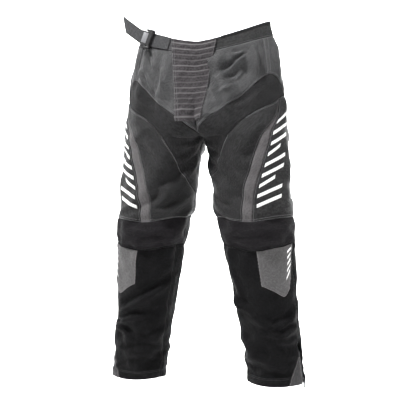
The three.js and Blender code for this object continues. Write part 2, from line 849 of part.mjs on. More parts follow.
// The belt's frame: x along it towards its tail, y down across it, z outward from its back.
const belt = (() => {
  const { u, drop } = BELT_TOUCH;
  const { du, normal } = slopes(u, drop);
  const along = vec(-du.x, du.y, du.z).normalize();
  const outward = vec(-normal.x, normal.y, normal.z);
  const across = outward.clone().cross(along).normalize();
  return frameAt(onCloth(-1, u, drop, BELT.lift), along, across, outward);
})();
{
  const { back, ahead, slant, thickness, width } = BELT;
  const outline = [
    [-back, -width / 2],
    [ahead, -width / 2],
    [ahead - slant, width / 2],
    [-back, width / 2],
  ];
  add("belt_strap", prism(outline, thickness), webbing, belt);
}

// The buckle has the same axes, and its origin is on the belt's back.
const buckle = new THREE.Group();
buckle.position.x = BUCKLE_AT;
belt.add(buckle);
const FRAME = { length: 26, room: 1, wall: 3, base: 1.7, height: 12 };
const beltRoom = BELT.width / 2 + FRAME.room; // half the inside height of the frame
const frameHalf = beltRoom + FRAME.wall;
const LEVER_PIN = { x: -7, z: 8.2, radius: 1.5 };
const PIN_CLEARANCE = 0.35;
{
  const { length, base, height } = FRAME;
  const l = length / 2;
  const floor = block(-l, -frameHalf, -base - 0.4, l, frameHalf, -0.4);
  const sideWall = (sign) =>
    prism(
      [
        [-l, -1.5],
        [l, -1.5],
        [l, 4],
        [0, height],
        [-l + 3, height],
        [-l, height - 3],
      ],
      FRAME.wall,
    )
      .rotateX(PI / 2)
      .translate(0, sign > 0 ? frameHalf : -beltRoom, 0);
  const guide = block(l - 4, -frameHalf, BELT.thickness + 0.5, l, frameHalf, BELT.thickness + 2.5);
  const pinHole = rod(LEVER_PIN.radius + 0.02, 2 * frameHalf + 4, 16)
    .rotateZ(PI / 2)
    .translate(LEVER_PIN.x, 0, LEVER_PIN.z);
  add("buckle_frame", cut(join(floor, sideWall(1), sideWall(-1), guide), pinHole), blackPlastic, buckle);
  const pin = rod(LEVER_PIN.radius - 0.3, 2 * frameHalf - 0.4, 16)
    .rotateZ(PI / 2)
    .translate(LEVER_PIN.x, 0, LEVER_PIN.z);
  add("buckle_pin", pin, steel, buckle);
}
// The lever: a rounded cam on the pin, and a plate that leans over the belt towards its tail.
const LEVER = { width: 2 * beltRoom - 1, cam: 4.6, plate: 2.2, reach: 25, lean: 0.3 };
{
  const cam = rod(LEVER.cam, LEVER.width, 20).rotateZ(PI / 2);
  const half = LEVER.width / 2;
  const plate = block(0, -half, LEVER.cam - LEVER.plate, LEVER.reach, half, LEVER.cam).rotateY(-LEVER.lean);
  const bore = rod(LEVER_PIN.radius - 0.3 + PIN_CLEARANCE, LEVER.width + 4, 16).rotateZ(PI / 2);
  const lever = cut(join(cam, plate), bore).translate(LEVER_PIN.x, 0, LEVER_PIN.z);
  add("buckle_lever", lever, leverPaint, buckle);
}
// The wire bail behind the frame, and the webbing tab that ties it to the side of the waist.
const BAIL = { wire: 1, reach: 15 };
{
  const { wire, reach } = BAIL;
  const x = FRAME.length / 2 + 0.4;
  const z = -FRAME.base - 0.4 + wire;
  const bar = (from, to) => block(...from, ...to);
  const end = bar([x + reach - 2 * wire, -17, z - wire], [x + reach, 17, z + wire]);
  const near = bar([x, -17, z - wire], [x + 2 * wire, 17, z + wire]);
  const top = bar([x, 15, z - wire], [x + reach, 17, z + wire]);
  const low = bar([x, -17, z - wire], [x + reach, -15, z + wire]);
  add("buckle_bail", join(end, near, top, low), steel, buckle);
}

trousers.updateMatrixWorld(true);
export default trousers;
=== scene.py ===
import math
import bpy
import bmesh
import numpy as np
from mathutils import Vector, Matrix


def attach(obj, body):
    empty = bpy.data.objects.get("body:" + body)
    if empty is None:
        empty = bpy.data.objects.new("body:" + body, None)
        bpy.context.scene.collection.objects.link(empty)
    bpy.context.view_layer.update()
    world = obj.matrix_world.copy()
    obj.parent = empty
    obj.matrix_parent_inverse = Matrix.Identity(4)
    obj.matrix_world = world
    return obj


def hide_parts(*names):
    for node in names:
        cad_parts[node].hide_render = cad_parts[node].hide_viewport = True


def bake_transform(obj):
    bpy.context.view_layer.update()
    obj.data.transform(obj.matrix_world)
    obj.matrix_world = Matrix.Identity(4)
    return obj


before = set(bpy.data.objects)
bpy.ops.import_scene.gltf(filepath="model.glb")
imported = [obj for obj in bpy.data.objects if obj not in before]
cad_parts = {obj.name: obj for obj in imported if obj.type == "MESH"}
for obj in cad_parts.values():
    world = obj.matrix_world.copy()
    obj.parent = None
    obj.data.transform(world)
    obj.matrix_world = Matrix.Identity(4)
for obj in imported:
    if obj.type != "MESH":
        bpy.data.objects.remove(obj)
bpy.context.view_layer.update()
print("frame loaded")

# The garment's own measurements in mm. u runs round one half from the centre front (0) over the outer
# side (0.5) to the centre back (1), and drop runs down from the waist corner.
garment = {
    "crotch": 325, "hem": 1032, "hemLift": 9, "waistband": 42,
    "frontDip": 54, "backDip": 58, "rimPower": 1.35, "flatWaist": 0.72,
    "lensTo": 150, "legFrom": 190, "frontTurn": 0.77, "backTurn": 0.66, "riseReach": 0.3,
}
seatLevels = [  # drop, half width, front depth, back depth
    (0, 196, 46, 50), (50, 209, 56, 62), (100, 221, 67, 76), (160, 231, 77, 92),
    (220, 237, 84, 104), (275, 242, 87, 106), (325, 246, 87, 100),
]
legLevels = [  # drop, centre x, half width, front depth, back depth, centre y
    (325, 123, 122.6, 87, 100, 0), (362, 130, 116, 85, 94, 0), (430, 138, 114, 83, 87, -2),
    (507, 146, 112, 80, 82, -5), (565, 156, 110, 78, 77, -8), (600, 161, 107, 77, 75, -9),
    (652, 167, 101, 72, 72, -6), (797, 184, 89, 62, 66, 3), (942, 202, 83, 54, 58, 8),
    (1032, 213, 83, 46, 48, 9),
]
sideFront, sideBack = 0.33, 0.61
# In mm, but wall in metres. grid is the mesh's cell; puff is a panel's crown and valley its sunken seam; the
# reaches are how far from a seam they die out; the pucker is the gathering along a seam.
fabric = {
    "grid": 3.4, "wall": 0.0014, "valley": 1.5, "puff": 2.2, "folds": 2.1, "ripple": 1.7,
    "crownReach": 11, "valleyReach": 2.6, "pucker": 0.35, "puckerReach": 9, "puckerTurns": 59,
    "puckerRows": 9.5,
}


def smooth(a, b, x):
    t = np.clip((x - a) / (b - a), 0, 1)
    return t * t * (3 - 2 * t)


def mix(a, b, t):
    return a + (b - a) * t


def hermite(points):
    # a smooth curve through the points, read back from a fine table
    p = np.array(points, float)
    xs = np.linspace(p[0, 0], p[-1, 0], 1600)
    i = np.clip(np.searchsorted(p[:, 0], xs, side="right") - 1, 0, len(p) - 2)
    before, after = np.maximum(i - 1, 0), np.minimum(i + 2, len(p) - 1)
    span = (p[i + 1, 0] - p[i, 0])[:, None]
    t = ((xs - p[i, 0])[:, None]) / span
    m0 = (p[i + 1] - p[before]) / (p[i + 1, 0] - p[before, 0])[:, None] * span
    m1 = (p[after] - p[i]) / (p[after, 0] - p[i, 0])[:, None] * span
    values = (2 * t**3 - 3 * t**2 + 1) * p[i] + (t**3 - 2 * t**2 + t) * m0
    values = values + (3 * t**2 - 2 * t**3) * p[i + 1] + (t**3 - t**2) * m1
    return lambda x: [np.interp(x, xs, values[:, k]) for k in range(1, p.shape[1])]


def through(points):
    curve = hermite(points)
    return lambda x: curve(x)[0]


seatAt, legAt = hermite(seatLevels), hermite(legLevels)


def rim(u):
    dip = np.where(u < 0.5, garment["frontDip"], garment["backDip"])
    return -dip * (1 - np.abs(np.sin(np.pi * u)) ** garment["rimPower"])


def seatSection(u, drop):
    half, front, back = seatAt(drop)
    flat = mix(garment["flatWaist"], 1, smooth(0, garment["lensTo"], drop))
    c = np.cos(np.pi * u)
    depth = np.where(c > 0, -front, back)
    return half * np.sin(np.pi * u), depth * (flat * np.abs(c) + (1 - flat) * c * c)


def legSection(u, drop):
    turn = 2 * np.pi * u
    half, front, back = seatAt(drop)
    depth = np.where(np.sin(turn) > 0, front, back)
    hx, hy = half / 2 * (1 - np.cos(turn)), -depth * np.sin(turn)
    x, half, front, back, y = legAt(drop)
    depth = np.where(np.sin(turn) > 0, front, back)
    above = drop < garment["crotch"]
    return np.where(above, hx, x - half * np.cos(turn)), np.where(above, hy, y - depth * np.sin(turn))


def upperBody(u, v):
    z = mix(rim(u), -garment["crotch"], v)
    share = smooth(garment["legFrom"], garment["crotch"], -z)
    sx, sy = seatSection(u, -z)
    lx, ly = legSection(u, np.minimum(-z, garment["crotch"] - 1e-6))
    return np.stack([mix(sx, lx, share), mix(sy, ly, share), z], -1)


def rise(v, edge, turn):
    z = mix(rim(np.float64(edge)), -garment["crotch"], np.minimum(v, turn))
    _, y = seatSection(np.full_like(v, edge), -z)
    q = np.clip((v - turn) / (1 - turn), 0, 1) * (np.pi / 2)
    y = y * np.cos(q)
    return np.stack([np.zeros_like(v), y, mix(z, -garment["crotch"], np.sin(q))], -1)


def surface(u, drop):
    u, drop = np.broadcast_arrays(np.asarray(u, float), np.asarray(drop, float))
    above = drop < garment["crotch"]
    past = above & ((u < 0) | (u > 1))
    w = np.where(above & (u < 0), -u, np.where(above & (u > 1), 2 - u, u))
    x, y = legSection(w, np.maximum(drop, garment["crotch"]))
    leg = np.stack([x, y, -drop], -1)
    v = np.clip(drop, 0, garment["crotch"]) / garment["crotch"]
    seat = upperBody(w, v)
    reach = garment["riseReach"]
    nearFront, nearBack = 1 - smooth(0, reach, w), 1 - smooth(0, reach, 1 - w)
    seat = seat + nearFront[..., None] * (rise(v, 0.0, garment["frontTurn"]) - upperBody(np.zeros_like(v), v))
    seat = seat + nearBack[..., None] * (rise(v, 1.0, garment["backTurn"]) - upperBody(np.ones_like(v), v))
    p = np.where(above[..., None], seat, leg)
    p[..., 0] = np.where(past, -p[..., 0], p[..., 0])
    return p


def slopes(u, drop):
    low, high = np.maximum(0, drop - 2), np.minimum(garment["hem"], drop + 2)
    du = (surface(u + 0.004, drop) - surface(u - 0.004, drop)) / 0.008
    dd = (surface(u, high) - surface(u, low)) / (high - low)[..., None]
    n = np.cross(dd, du)
    return du, dd, n / np.maximum(np.linalg.norm(n, axis=-1, keepdims=True), 1e-9)


# the seams: some give a drop for each u, some a u for each drop
def yokeEdge(u):
    return mix(92, 116, np.clip((u - sideBack) / (1 - sideBack), 0, 1))


legHole = through([(0, 303), (0.07, 280), (0.13, 254), (0.182, 218), (0.242, 181), (0.3, 158), (0.345, 150),
                   (0.4, 155), (0.46, 176), (0.53, 201), (0.61, 228), (0.68, 262), (0.75, 290), (0.85, 314),
                   (0.93, 323), (1, 325)])
thighTop = through([(0, 490), (0.05, 468), (0.105, 433), (0.17, 371), (0.226, 321), (0.25, 292), (0.28, 268),
                    (0.33, 248), (0.4, 229), (0.46, 216), (0.53, 219), (0.61, 235)])
kneeTop = through([(0, 556), (0.12, 560), (0.25, 572), (0.38, 562), (0.5, 556), (0.62, 543), (0.75, 524),
                   (0.88, 543), (1, 556)])
kneeBottom = through([(0, 630), (0.12, 640), (0.25, 652), (0.38, 640), (0.5, 628), (0.62, 652), (0.75, 676),
                      (0.88, 652), (1, 630)])
stripeMiddle = through([(200, 0.425), (265, 0.42), (320, 0.372), (386, 0.329), (480, 0.276), (570, 0.245)])
insertInner = through([(600, 0.478), (925, 0.478), (940, 0.455), (965, 0.42), (1000, 0.37), (1032, 0.34)])
patchBottom = through([(0.2, 742), (0.27, 750), (0.33, 766), (0.385, 780), (0.42, 758), (0.46, 732)])
patchOuter = through([(620, 0.458), (680, 0.452), (740, 0.43), (800, 0.4)])
ankleZip = 0.478
innerFront, innerBack = 0.07, 0.87


def hemEdge(u):
    return garment["hem"] - garment["hemLift"] * np.cos(2 * np.pi * u) ** 2


def facingTop(u):
    return hemEdge(u) - 27


def facingFoot(u):
    return hemEdge(u) - 1


def patchTop(u):
    return kneeBottom(u) + 1.5


def around(f):
    return lambda u: f(u - np.floor(u))


def tabled(edge):
    # a slow edge, worked out once and then read from a fine table of drops
    drops = np.linspace(0, garment["hem"], 1033)
    values = edge(drops)
    return lambda drop: np.interp(drop, drops, values)


def perU(u, drop):
    return np.linalg.norm(slopes(u, drop)[0], axis=-1)


def stripeHalf(drop):
    width = 30 * (0.06 + 0.94 * smooth(242, 372, drop))
    return width / 2 / perU(stripeMiddle(drop), drop)


def stripeInner(drop):
    return stripeMiddle(drop) - stripeHalf(drop)


def stripeOuter(drop):
    return stripeMiddle(drop) + stripeHalf(drop)


def centreFront(drop):
    gap = 9 * (1 - smooth(254, 268, drop))
    return gap / perU(np.zeros_like(drop), drop)


def zipGap(drop):
    return smooth(898, 918, drop) * 6.5 / perU(np.full_like(drop, ankleZip), drop)


stripeInner, stripeOuter = tabled(stripeInner), tabled(stripeOuter)
centreFront, zipGap = tabled(centreFront), tabled(zipGap)


def zipFront(drop):
    return ankleZip - zipGap(drop)


def zipBack(drop):
    return ankleZip + zipGap(drop)


def shinOuter(drop):
    return np.minimum(insertInner(drop), zipFront(drop))


def uAt(x, drop):
    low, high = np.zeros_like(drop), np.full_like(drop, 0.4)
    for n in range(26):
        middle = (low + high) / 2
        less = surface(middle, drop)[..., 0] < np.abs(x)
        low, high = np.where(less, middle, low), np.where(less, high, middle)
    return np.sign(x) * low


# A fold is a line of (u, drop) points with a height and a width in mm: a ridge, and a valley along one side.
foldsBoth = [
    ([(0.16, 250), (0.24, 235), (0.31, 190)], 2.2, 13),
    ([(0.02, 330), (0.08, 352), (0.15, 352)], 4.0, 9),
    ([(0.03, 350), (0.09, 385), (0.16, 400)], 4.2, 11),
    ([(0.01, 372), (0.06, 420), (0.12, 452)], 3.4, 12),
    ([(0.98, 340), (0.9, 368), (0.82, 376)], 4.4, 13),
    ([(0.97, 365), (0.89, 400), (0.8, 424)], 3.6, 15),
    ([(0.66, 292), (0.74, 322), (0.84, 338)], 3.2, 13),
    ([(0.60, 560), (0.72, 582), (0.85, 570)], 4.6, 8),
    ([(0.60, 590), (0.74, 606), (0.87, 594)], 5.0, 9),
    ([(0.61, 622), (0.74, 640), (0.86, 624)], 4.2, 9),
    ([(0.12, 592), (0.25, 600), (0.38, 590)], 1.6, 9),
    ([(0.10, 616), (0.25, 630), (0.40, 618)], 1.6, 9),
    ([(0.7, 150), (0.8, 176), (0.94, 182)], 1.8, 18),
]
foldsLeft = [
    ([(0.11, 128), (0.16, 106), (0.23, 80)], 4.2, 9),
    ([(0.14, 66), (0.18, 74), (0.22, 70)], 3.2, 7),
    ([(0.12, 160), (0.17, 148), (0.20, 128)], 2.6, 9),
    ([(0.10, 196), (0.14, 176), (0.18, 168)], 2.4, 10),
    ([(0.27, 62), (0.28, 100), (0.27, 140)], 1.8, 9),
    ([(0.10, 70), (0.17, 92), (0.25, 96)], 1.8, 12),
    ([(0.08, 150), (0.15, 128), (0.24, 84)], 1.6, 14),
    ([(0.20, 842), (0.30, 868), (0.41, 846), (0.47, 812)], 5.0, 12),
    ([(0.24, 880), (0.34, 890), (0.45, 862)], 4.6, 11),
    ([(0.05, 770), (0.12, 806), (0.22, 828)], 4.0, 12),
    ([(0.30, 905), (0.38, 908), (0.46, 892)], 2.6, 9),
    ([(0.55, 800), (0.66, 838), (0.8, 820)], 4.4, 15),
    ([(0.55, 860), (0.68, 900), (0.84, 872)], 3.8, 14),
    ([(0.10, 430), (0.17, 470), (0.22, 520)], 2.6, 16),
    ([(0.32, 300), (0.28, 350), (0.22, 400)], 2.6, 15),
    ([(0.46, 330), (0.5, 400), (0.48, 470)], 2.4, 18),
    ([(0.06, 500), (0.14, 532), (0.22, 545)], 2.4, 10),
    ([(0.32, 540), (0.38, 520), (0.46, 530)], 2.0, 10),
    ([(0.1, 690), (0.13, 760), (0.1, 830)], 2.4, 14),
]
foldsRight = [
    ([(0.27, 120), (0.23, 150), (0.17, 196)], 3.4, 10),
    ([(0.33, 118), (0.29, 140), (0.25, 164)], 2.6, 9),
    ([(0.17, 92), (0.15, 130), (0.15, 170)], 2.6, 8),
    ([(0.26, 70), (0.22, 96), (0.20, 120)], 2.2, 9),
    ([(0.14, 150), (0.17, 200), (0.18, 244)], 2.0, 12),
    ([(0.26, 116), (0.23, 160), (0.20, 196)], 1.8, 12),
    ([(0.07, 735), (0.17, 776), (0.28, 812), (0.38, 842)], 5.2, 13),
    ([(0.19, 836), (0.28, 850), (0.39, 872)], 4.8, 11),
    ([(0.28, 905), (0.37, 880), (0.46, 866)], 4.0, 10),
    ([(0.55, 830), (0.68, 862), (0.82, 850)], 4.2, 15),
    ([(0.6, 780), (0.7, 800), (0.82, 780)], 3.6, 14),
    ([(0.12, 440), (0.18, 480), (0.2, 530)], 2.8, 15),
    ([(0.30, 310), (0.25, 362), (0.17, 410)], 2.8, 14),
    ([(0.44, 350), (0.46, 420), (0.42, 500)], 2.4, 18),
    ([(0.08, 505), (0.16, 538), (0.24, 548)], 2.2, 10),
    ([(0.07, 880), (0.14, 910), (0.22, 915)], 2.2, 12),
]


def girthAt(drop):
    return np.interp(drop, [0, 150, 325, 600, 800, 1032], [640, 720, 660, 560, 470, 420])


def oneFold(x, y, pts, height, width):
    lengths = [math.dist(pts[i], pts[i + 1]) for i in range(len(pts) - 1)]
    best = np.full_like(x, 1e9)
    signed, along = np.zeros_like(x), np.zeros_like(x)
    done = 0.0
    for i, length in enumerate(lengths):
        ax, ay = pts[i]
        dx, dy = (pts[i + 1][0] - ax) / length, (pts[i + 1][1] - ay) / length
        t = np.clip((x - ax) * dx + (y - ay) * dy, 0, length)
        d = np.hypot(x - ax - t * dx, y - ay - t * dy)
        near = d < best
        best = np.where(near, d, best)
        signed = np.where(near, np.sign((x - ax) * dy - (y - ay) * dx) * d, signed)
        along = np.where(near, done + t, along)
        done += length
    taper = smooth(0, 0.35, along / done) * smooth(0, 0.35, 1 - along / done)
    q = signed / width
    return height * (0.25 + 0.75 * taper) * (np.exp(-q * q) - 0.75 * np.exp(-((q - 1.3) ** 2)))


def foldHeight(side, u, drop):
    total = np.zeros_like(u)
    girth = girthAt(drop)
    for path, height, width in foldsBoth + (foldsLeft if side > 0 else foldsRight):
        pts = [(pu * float(girthAt(pd)), pd) for pu, pd in path]
        xs, ys = [q[0] for q in pts], [q[1] for q in pts]
        reach = 4 * width
        for turn in (-1, 0, 1):
            x = (u + turn) * girth
            near = (x > min(xs) - reach) & (x < max(xs) + reach)
            near &= (drop > min(ys) - reach) & (drop < max(ys) + reach)
            if near.any():
                total[near] += oneFold(x[near], drop[near], pts, height, width)
    return total


rippleSize = {"waves": 26, "shortest": 34, "longest": 120, "girth": 560, "height": 0.42}


def ripple(side, u, drop):
    # the cloth's small unevenness: many long low waves in all directions
    rng = np.random.default_rng(7 if side > 0 else 11)
    total = np.zeros_like(u)
    for n in range(rippleSize["waves"]):
        angle = rng.uniform(0, np.pi)
        span = rng.uniform(rippleSize["shortest"], rippleSize["longest"])
        phase = rng.uniform(0, 2 * np.pi)
        turns, rows = round(math.cos(angle) * rippleSize["girth"] / span), math.sin(angle) / span
        total += span / rippleSize["longest"] * np.sin(2 * np.pi * (turns * u + rows * drop) + phase)
    return rippleSize["height"] * total


drapes = {}


def drape(side, u, drop):
    # how far the simulated cloth moved along the normal, in mm
    if side not in drapes:
        return np.zeros_like(u)
    table, rows, columns = drapes[side]
    y = np.clip(drop / garment["hem"], 0, 1) * (rows - 1)
    x = np.clip(u - np.floor(u), 0, 1) * (columns - 1)
    i, j = np.minimum(y.astype(int), rows - 2), np.minimum(x.astype(int), columns - 2)
    fy, fx = y - i, x - j
    top = table[i, j] * (1 - fx) + table[i, j + 1] * fx
    low = table[i + 1, j] * (1 - fx) + table[i + 1, j + 1] * fx
    return top * (1 - fy) + low * fy


def onCloth(sides, u, drop, lift):
    # sides, u, drop and lift are arrays; the answer is in metres
    p = surface(u, drop) + slopes(u, drop)[2] * lift[..., None]
    p[..., 0] *= sides
    return p / 1000


def wrinkles(sides, u, drop):
    lift = np.zeros_like(u)
    for side in (1, -1):
        here = sides == side
        if here.any():
            a, b = u[here] - np.floor(u[here]), drop[here]
            calm = smooth(30, 90, b) * (1 - 0.6 * smooth(985, 1030, b))
            calm = calm * (1 - (1 - smooth(0, 0.07, np.minimum(a, 1 - a))) * (1 - smooth(325, 360, b)))
            uneven = fabric["folds"] * foldHeight(side, a, b) + fabric["ripple"] * ripple(side, a, b)
            lift[here] = calm * (uneven + drape(side, a, b))
    return lift


def edgeAt(edge, x):
    return edge(x) if callable(edge) else np.full_like(x, float(edge))


def toHalf(spec, c):
    # which half a point lies on, and its u there
    kind = spec.get("map", "half")
    if kind == "half":
        return np.full_like(c, float(spec["side"])), c
    sides = np.where(c < 0, -1.0, 1.0)
    return sides, (np.abs(c) if kind == "front" else 1 - np.abs(c))


def solvePanel(spec, s, t):
    drop = mix(edgeAt(spec["top"], np.full_like(s, 0.3)), edgeAt(spec["bottom"], np.full_like(s, 0.3)), t)
    for n in range(24):
        c = mix(edgeAt(spec["left"], drop), edgeAt(spec["right"], drop), s)
        drop = mix(edgeAt(spec["top"], c), edgeAt(spec["bottom"], c), t)
    return c, drop


def mirrored(p, sides):
    # points or normals of the left half, carried to the half that each is on
    return p * np.stack([sides, np.ones_like(sides), np.ones_like(sides)], -1)


def panelPoints(spec, s, t, extra=0.0):
    # the finished cloth surface at shares s across and t down, with its wrinkles, crown and seam valleys
    c, drop = solvePanel(spec, s, t)
    sides, u = toHalf(spec, c)
    du, dd, n = slopes(u, drop)
    wide = np.abs(edgeAt(spec["right"], drop) - edgeAt(spec["left"], drop)) * np.linalg.norm(du, axis=-1)
    tall = np.abs(edgeAt(spec["bottom"], c) - edgeAt(spec["top"], c)) * np.linalg.norm(dd, axis=-1)
    seams = spec.get("seams", "lrtb")
    toSeam = np.full_like(s, 400.0)
    for key, away in (("l", s * wide), ("r", (1 - s) * wide), ("t", t * tall), ("b", (1 - t) * tall)):
        if key in seams:
            toSeam = np.minimum(toSeam, away)
    crown = spec.get("puff", fabric["puff"]) * (1 - np.exp(-toSeam / fabric["crownReach"]))
    valley = spec.get("valley", fabric["valley"]) * np.exp(-((toSeam / fabric["valleyReach"]) ** 2))
    gathers = np.sin(2 * np.pi * (fabric["puckerTurns"] * c + drop / fabric["puckerRows"]))
    pucker = fabric["pucker"] * np.exp(-((toSeam / fabric["puckerReach"]) ** 2)) * gathers
    lift = crown - valley + pucker + spec.get("lift", 0.0) + extra
    lift = lift + spec.get("calm", 1.0) * wrinkles(sides, u, drop)
    if "shape" in spec:
        lift = lift + spec["shape"](c, drop, s, t)
    return onCloth(sides, u, drop, lift), mirrored(n, sides), toSeam


def patternGrid(spec, count):
    # where an even grid of shares falls on the panel: c round the garment and drop down it
    a = np.linspace(0, 1, count)
    ss, tt = np.meshgrid(a, a, indexing="ij")
    c, drop = solvePanel(spec, ss.ravel(), tt.ravel())
    return c, drop


def sizesOf(spec):
    # its greatest width and height in mm and its area in square metres, on the smooth surface
    c, drop = patternGrid(spec, 31)
    sides, u = toHalf(spec, c)
    p = mirrored(surface(u, drop), sides).reshape(31, 31, 3)
    across = np.linalg.norm(np.diff(p, axis=0), axis=-1).sum(0).max()
    down = np.linalg.norm(np.diff(p, axis=1), axis=-1).sum(1).max()
    e1, e2 = p[1:, :-1] - p[:-1, :-1], p[:-1, 1:] - p[:-1, :-1]
    area = np.linalg.norm(np.cross(e1, e2), axis=-1).sum()
    return across, down, area / 1e6


def cutOf(spec):
    # the box of the flat cut: the widest girth it covers, and its drop, in metres
    c, drop = patternGrid(spec, 41)
    wide = (c.max() - c.min()) * np.median(perU(toHalf(spec, c)[1], drop))
    return wide / 1000, (drop.max() - drop.min()) / 1000


def newPiece(name, bm, material):
    mesh = bpy.data.meshes.new(name)
    bm.to_mesh(mesh)
    bm.free()
    mesh.polygons.foreach_set("use_smooth", [True] * len(mesh.polygons))
    piece = bpy.data.objects.new(name, mesh)
    bpy.context.scene.collection.objects.link(piece)
    mesh.materials.append(material)
    return piece


def giveWall(piece, thickness, offset):
    thick = piece.modifiers.new("wall", "SOLIDIFY")
    thick.thickness = thickness
    thick.offset = offset


def layGrid(across, down, place):
    # a grid whose corners at shares s across and t down are carried to their points and uv by place(s, t)
    bm = bmesh.new()
    bmesh.ops.create_grid(bm, x_segments=across, y_segments=down, size=1)
    s = np.array([(v.co.x + 1) / 2 for v in bm.verts])
    t = np.array([(1 - v.co.y) / 2 for v in bm.verts])
    points, uv = place(s, t)
    layer = bm.loops.layers.uv.new("weave")
    for v, p in zip(bm.verts, points):
        v.co = p
    bm.verts.index_update()
    for face in bm.faces:
        for loop in face.loops:
            loop[layer].uv = uv[loop.vert.index]
    return bm


def gridPiece(name, across, down, place, material, turned, wall):
    # place(s, t) also gives how near a seam each corner lies, which the fabric finish reads
    seams = []

    def lay(s, t):
        points, uv, seam = place(s, t)
        seams.append(seam)
        return points, uv

    bm = layGrid(across, down, lay)
    if turned:
        bmesh.ops.reverse_faces(bm, faces=bm.faces)
    piece = newPiece(name, bm, material)
    attribute = piece.data.attributes.new("seam", "FLOAT", "POINT")
    attribute.data.foreach_set("value", seams[0].astype(np.float32))
    giveWall(piece, wall, -1)
    return piece


def blockAt(bm, centre, axes, sizes):
    # a box centred on a point, with its three sides along three directions
    m = Matrix([Vector(axis * size) for axis, size in zip(axes, sizes)]).transposed().to_4x4()
    m.translation = Vector(centre)
    bmesh.ops.create_cube(bm, size=1, matrix=m)


def sewPanel(name, spec, material, cell=None):
    across, down, area = sizesOf(spec)
    cell = cell or fabric["grid"]
    inset, seamFade = 0.12, 5

    def place(s, t):
        ss = inset / across + s * (1 - 2 * inset / across)
        tt = inset / down + t * (1 - 2 * inset / down)
        p, n, toSeam = panelPoints(spec, ss, tt)
        return p, np.stack([s * across / 1000, (1 - t) * down / 1000], -1), np.exp(-toSeam / seamFade)

    turned = spec.get("map") == "back" or spec.get("side", 1) < 0
    piece = gridPiece(name, max(4, round(across / cell)), max(3, round(down / cell)), place, material, turned,
                      spec.get("wall", fabric["wall"]))
    boxes = [(across / 1000, down / 1000), cutOf(spec)]
    fitting = [box for box in boxes if box[0] * box[1] > area]
    return piece, min(fitting or boxes[1:], key=lambda box: box[0] * box[1]), area


# sizes of a stitch in mm; clear is how far it stands off the cloth
thread = {"length": 2.7, "pitch": 3.8, "width": 0.85, "height": 0.6, "clear": 0.12}
stitchBanks = {}


def stitchRow(bank, spec, edge, offset, start=0.0, stop=1.0):
    across, down = sizesOf(spec)[:2]
    long = down if edge in "lr" else across
    count = max(2, int(long * (stop - start) / thread["pitch"]))
    k = (np.arange(count) + 0.5) / count * (stop - start) + start
    half = thread["length"] / 2 / long
    ends = []
    for q in (k - half, k + half):
        share = offset / (across if edge in "lr" else down)
        if edge in "lr":
            c, drop = solvePanel(spec, np.full_like(q, 0.5), q)
            wide = np.abs(edgeAt(spec["right"], drop) - edgeAt(spec["left"], drop))
            wide = wide * perU(toHalf(spec, c)[1], drop)
            share = np.clip(offset / np.maximum(wide, 1), 0, 0.45)
        share = np.broadcast_to(share, q.shape).copy()
        far = 1 - share if edge in "rb" else share
        s, t = (far, q) if edge in "lr" else (q, far)
        ends.append(panelPoints(spec, s, t, thread["clear"])[:2])
    stitchBanks.setdefault(bank, []).append((ends[0][0], ends[1][0], ends[0][1]))


def makeStitches(bank, material):
    # the rows are made one by one, because a cube added to a large mesh is slow
    whole = bmesh.new()
    row = bpy.data.meshes.new("row")
    for a, b, n in stitchBanks[bank]:
        for start in range(0, len(a), 60):
            bm = bmesh.new()
            for p, q, out in zip(a[start:start + 60], b[start:start + 60], n[start:start + 60]):
                along = Vector(q - p)
                length = along.length
                if length < 0.0008 or length > 0.006:
                    continue
                x = along.normalized()
                y = Vector(out).cross(x).normalized()
                sizes = (length, thread["width"] / 1000, thread["height"] / 1000)
                blockAt(bm, (p + q) / 2, (x, y, x.cross(y)), sizes)
            bm.to_mesh(row)
            bm.free()
            whole.from_mesh(row)
    bpy.data.meshes.remove(row)
    return newPiece("stitches_" + bank, whole, material)


def nodesOf(name):
    material = bpy.data.materials.new(name)
    material.use_nodes = True
    tree = material.node_tree
    return material, tree, tree.nodes["Principled BSDF"]


def makeNode(tree, kind, inputs=None, **settings):
    node = tree.nodes.new(kind)
    for key, value in settings.items():
        setattr(node, key, value)
    for key, value in (inputs or {}).items():
        if isinstance(value, bpy.types.NodeSocket):
            tree.links.new(value, node.inputs[key])
        else:
            node.inputs[key].default_value = value
    return node


def calc(tree, operation, a, b=0.0):
    return makeNode(tree, "ShaderNodeMath", {0: a, 1: b}, operation=operation).outputs[0]


def times(tree, a, b):
    return calc(tree, "MULTIPLY", a, b)


def plus(tree, a, b):
    return calc(tree, "ADD", a, b)


def wave(tree, value, perMetre, phase=0.0):
    return calc(tree, "SINE", plus(tree, times(tree, value, perMetre * 2 * math.pi), phase))


def noiseAt(tree, vector, scale, detail=3.0, rough=0.55, distortion=0.0):
    inputs = {"Vector": vector, "Scale": scale, "Detail": detail, "Roughness": rough, "Distortion": distortion}
    return makeNode(tree, "ShaderNodeTexNoise", inputs).outputs["Fac"]


def shade(color, factor):
    return tuple(min(1.0, c * factor) for c in color) + (1.0,)


def blendColor(tree, factor, a, b):
    # a colour mix's own sockets are its first, seventh and eighth
    return makeNode(tree, "ShaderNodeMix", {0: factor, 6: a, 7: b}, data_type="RGBA").outputs[2]


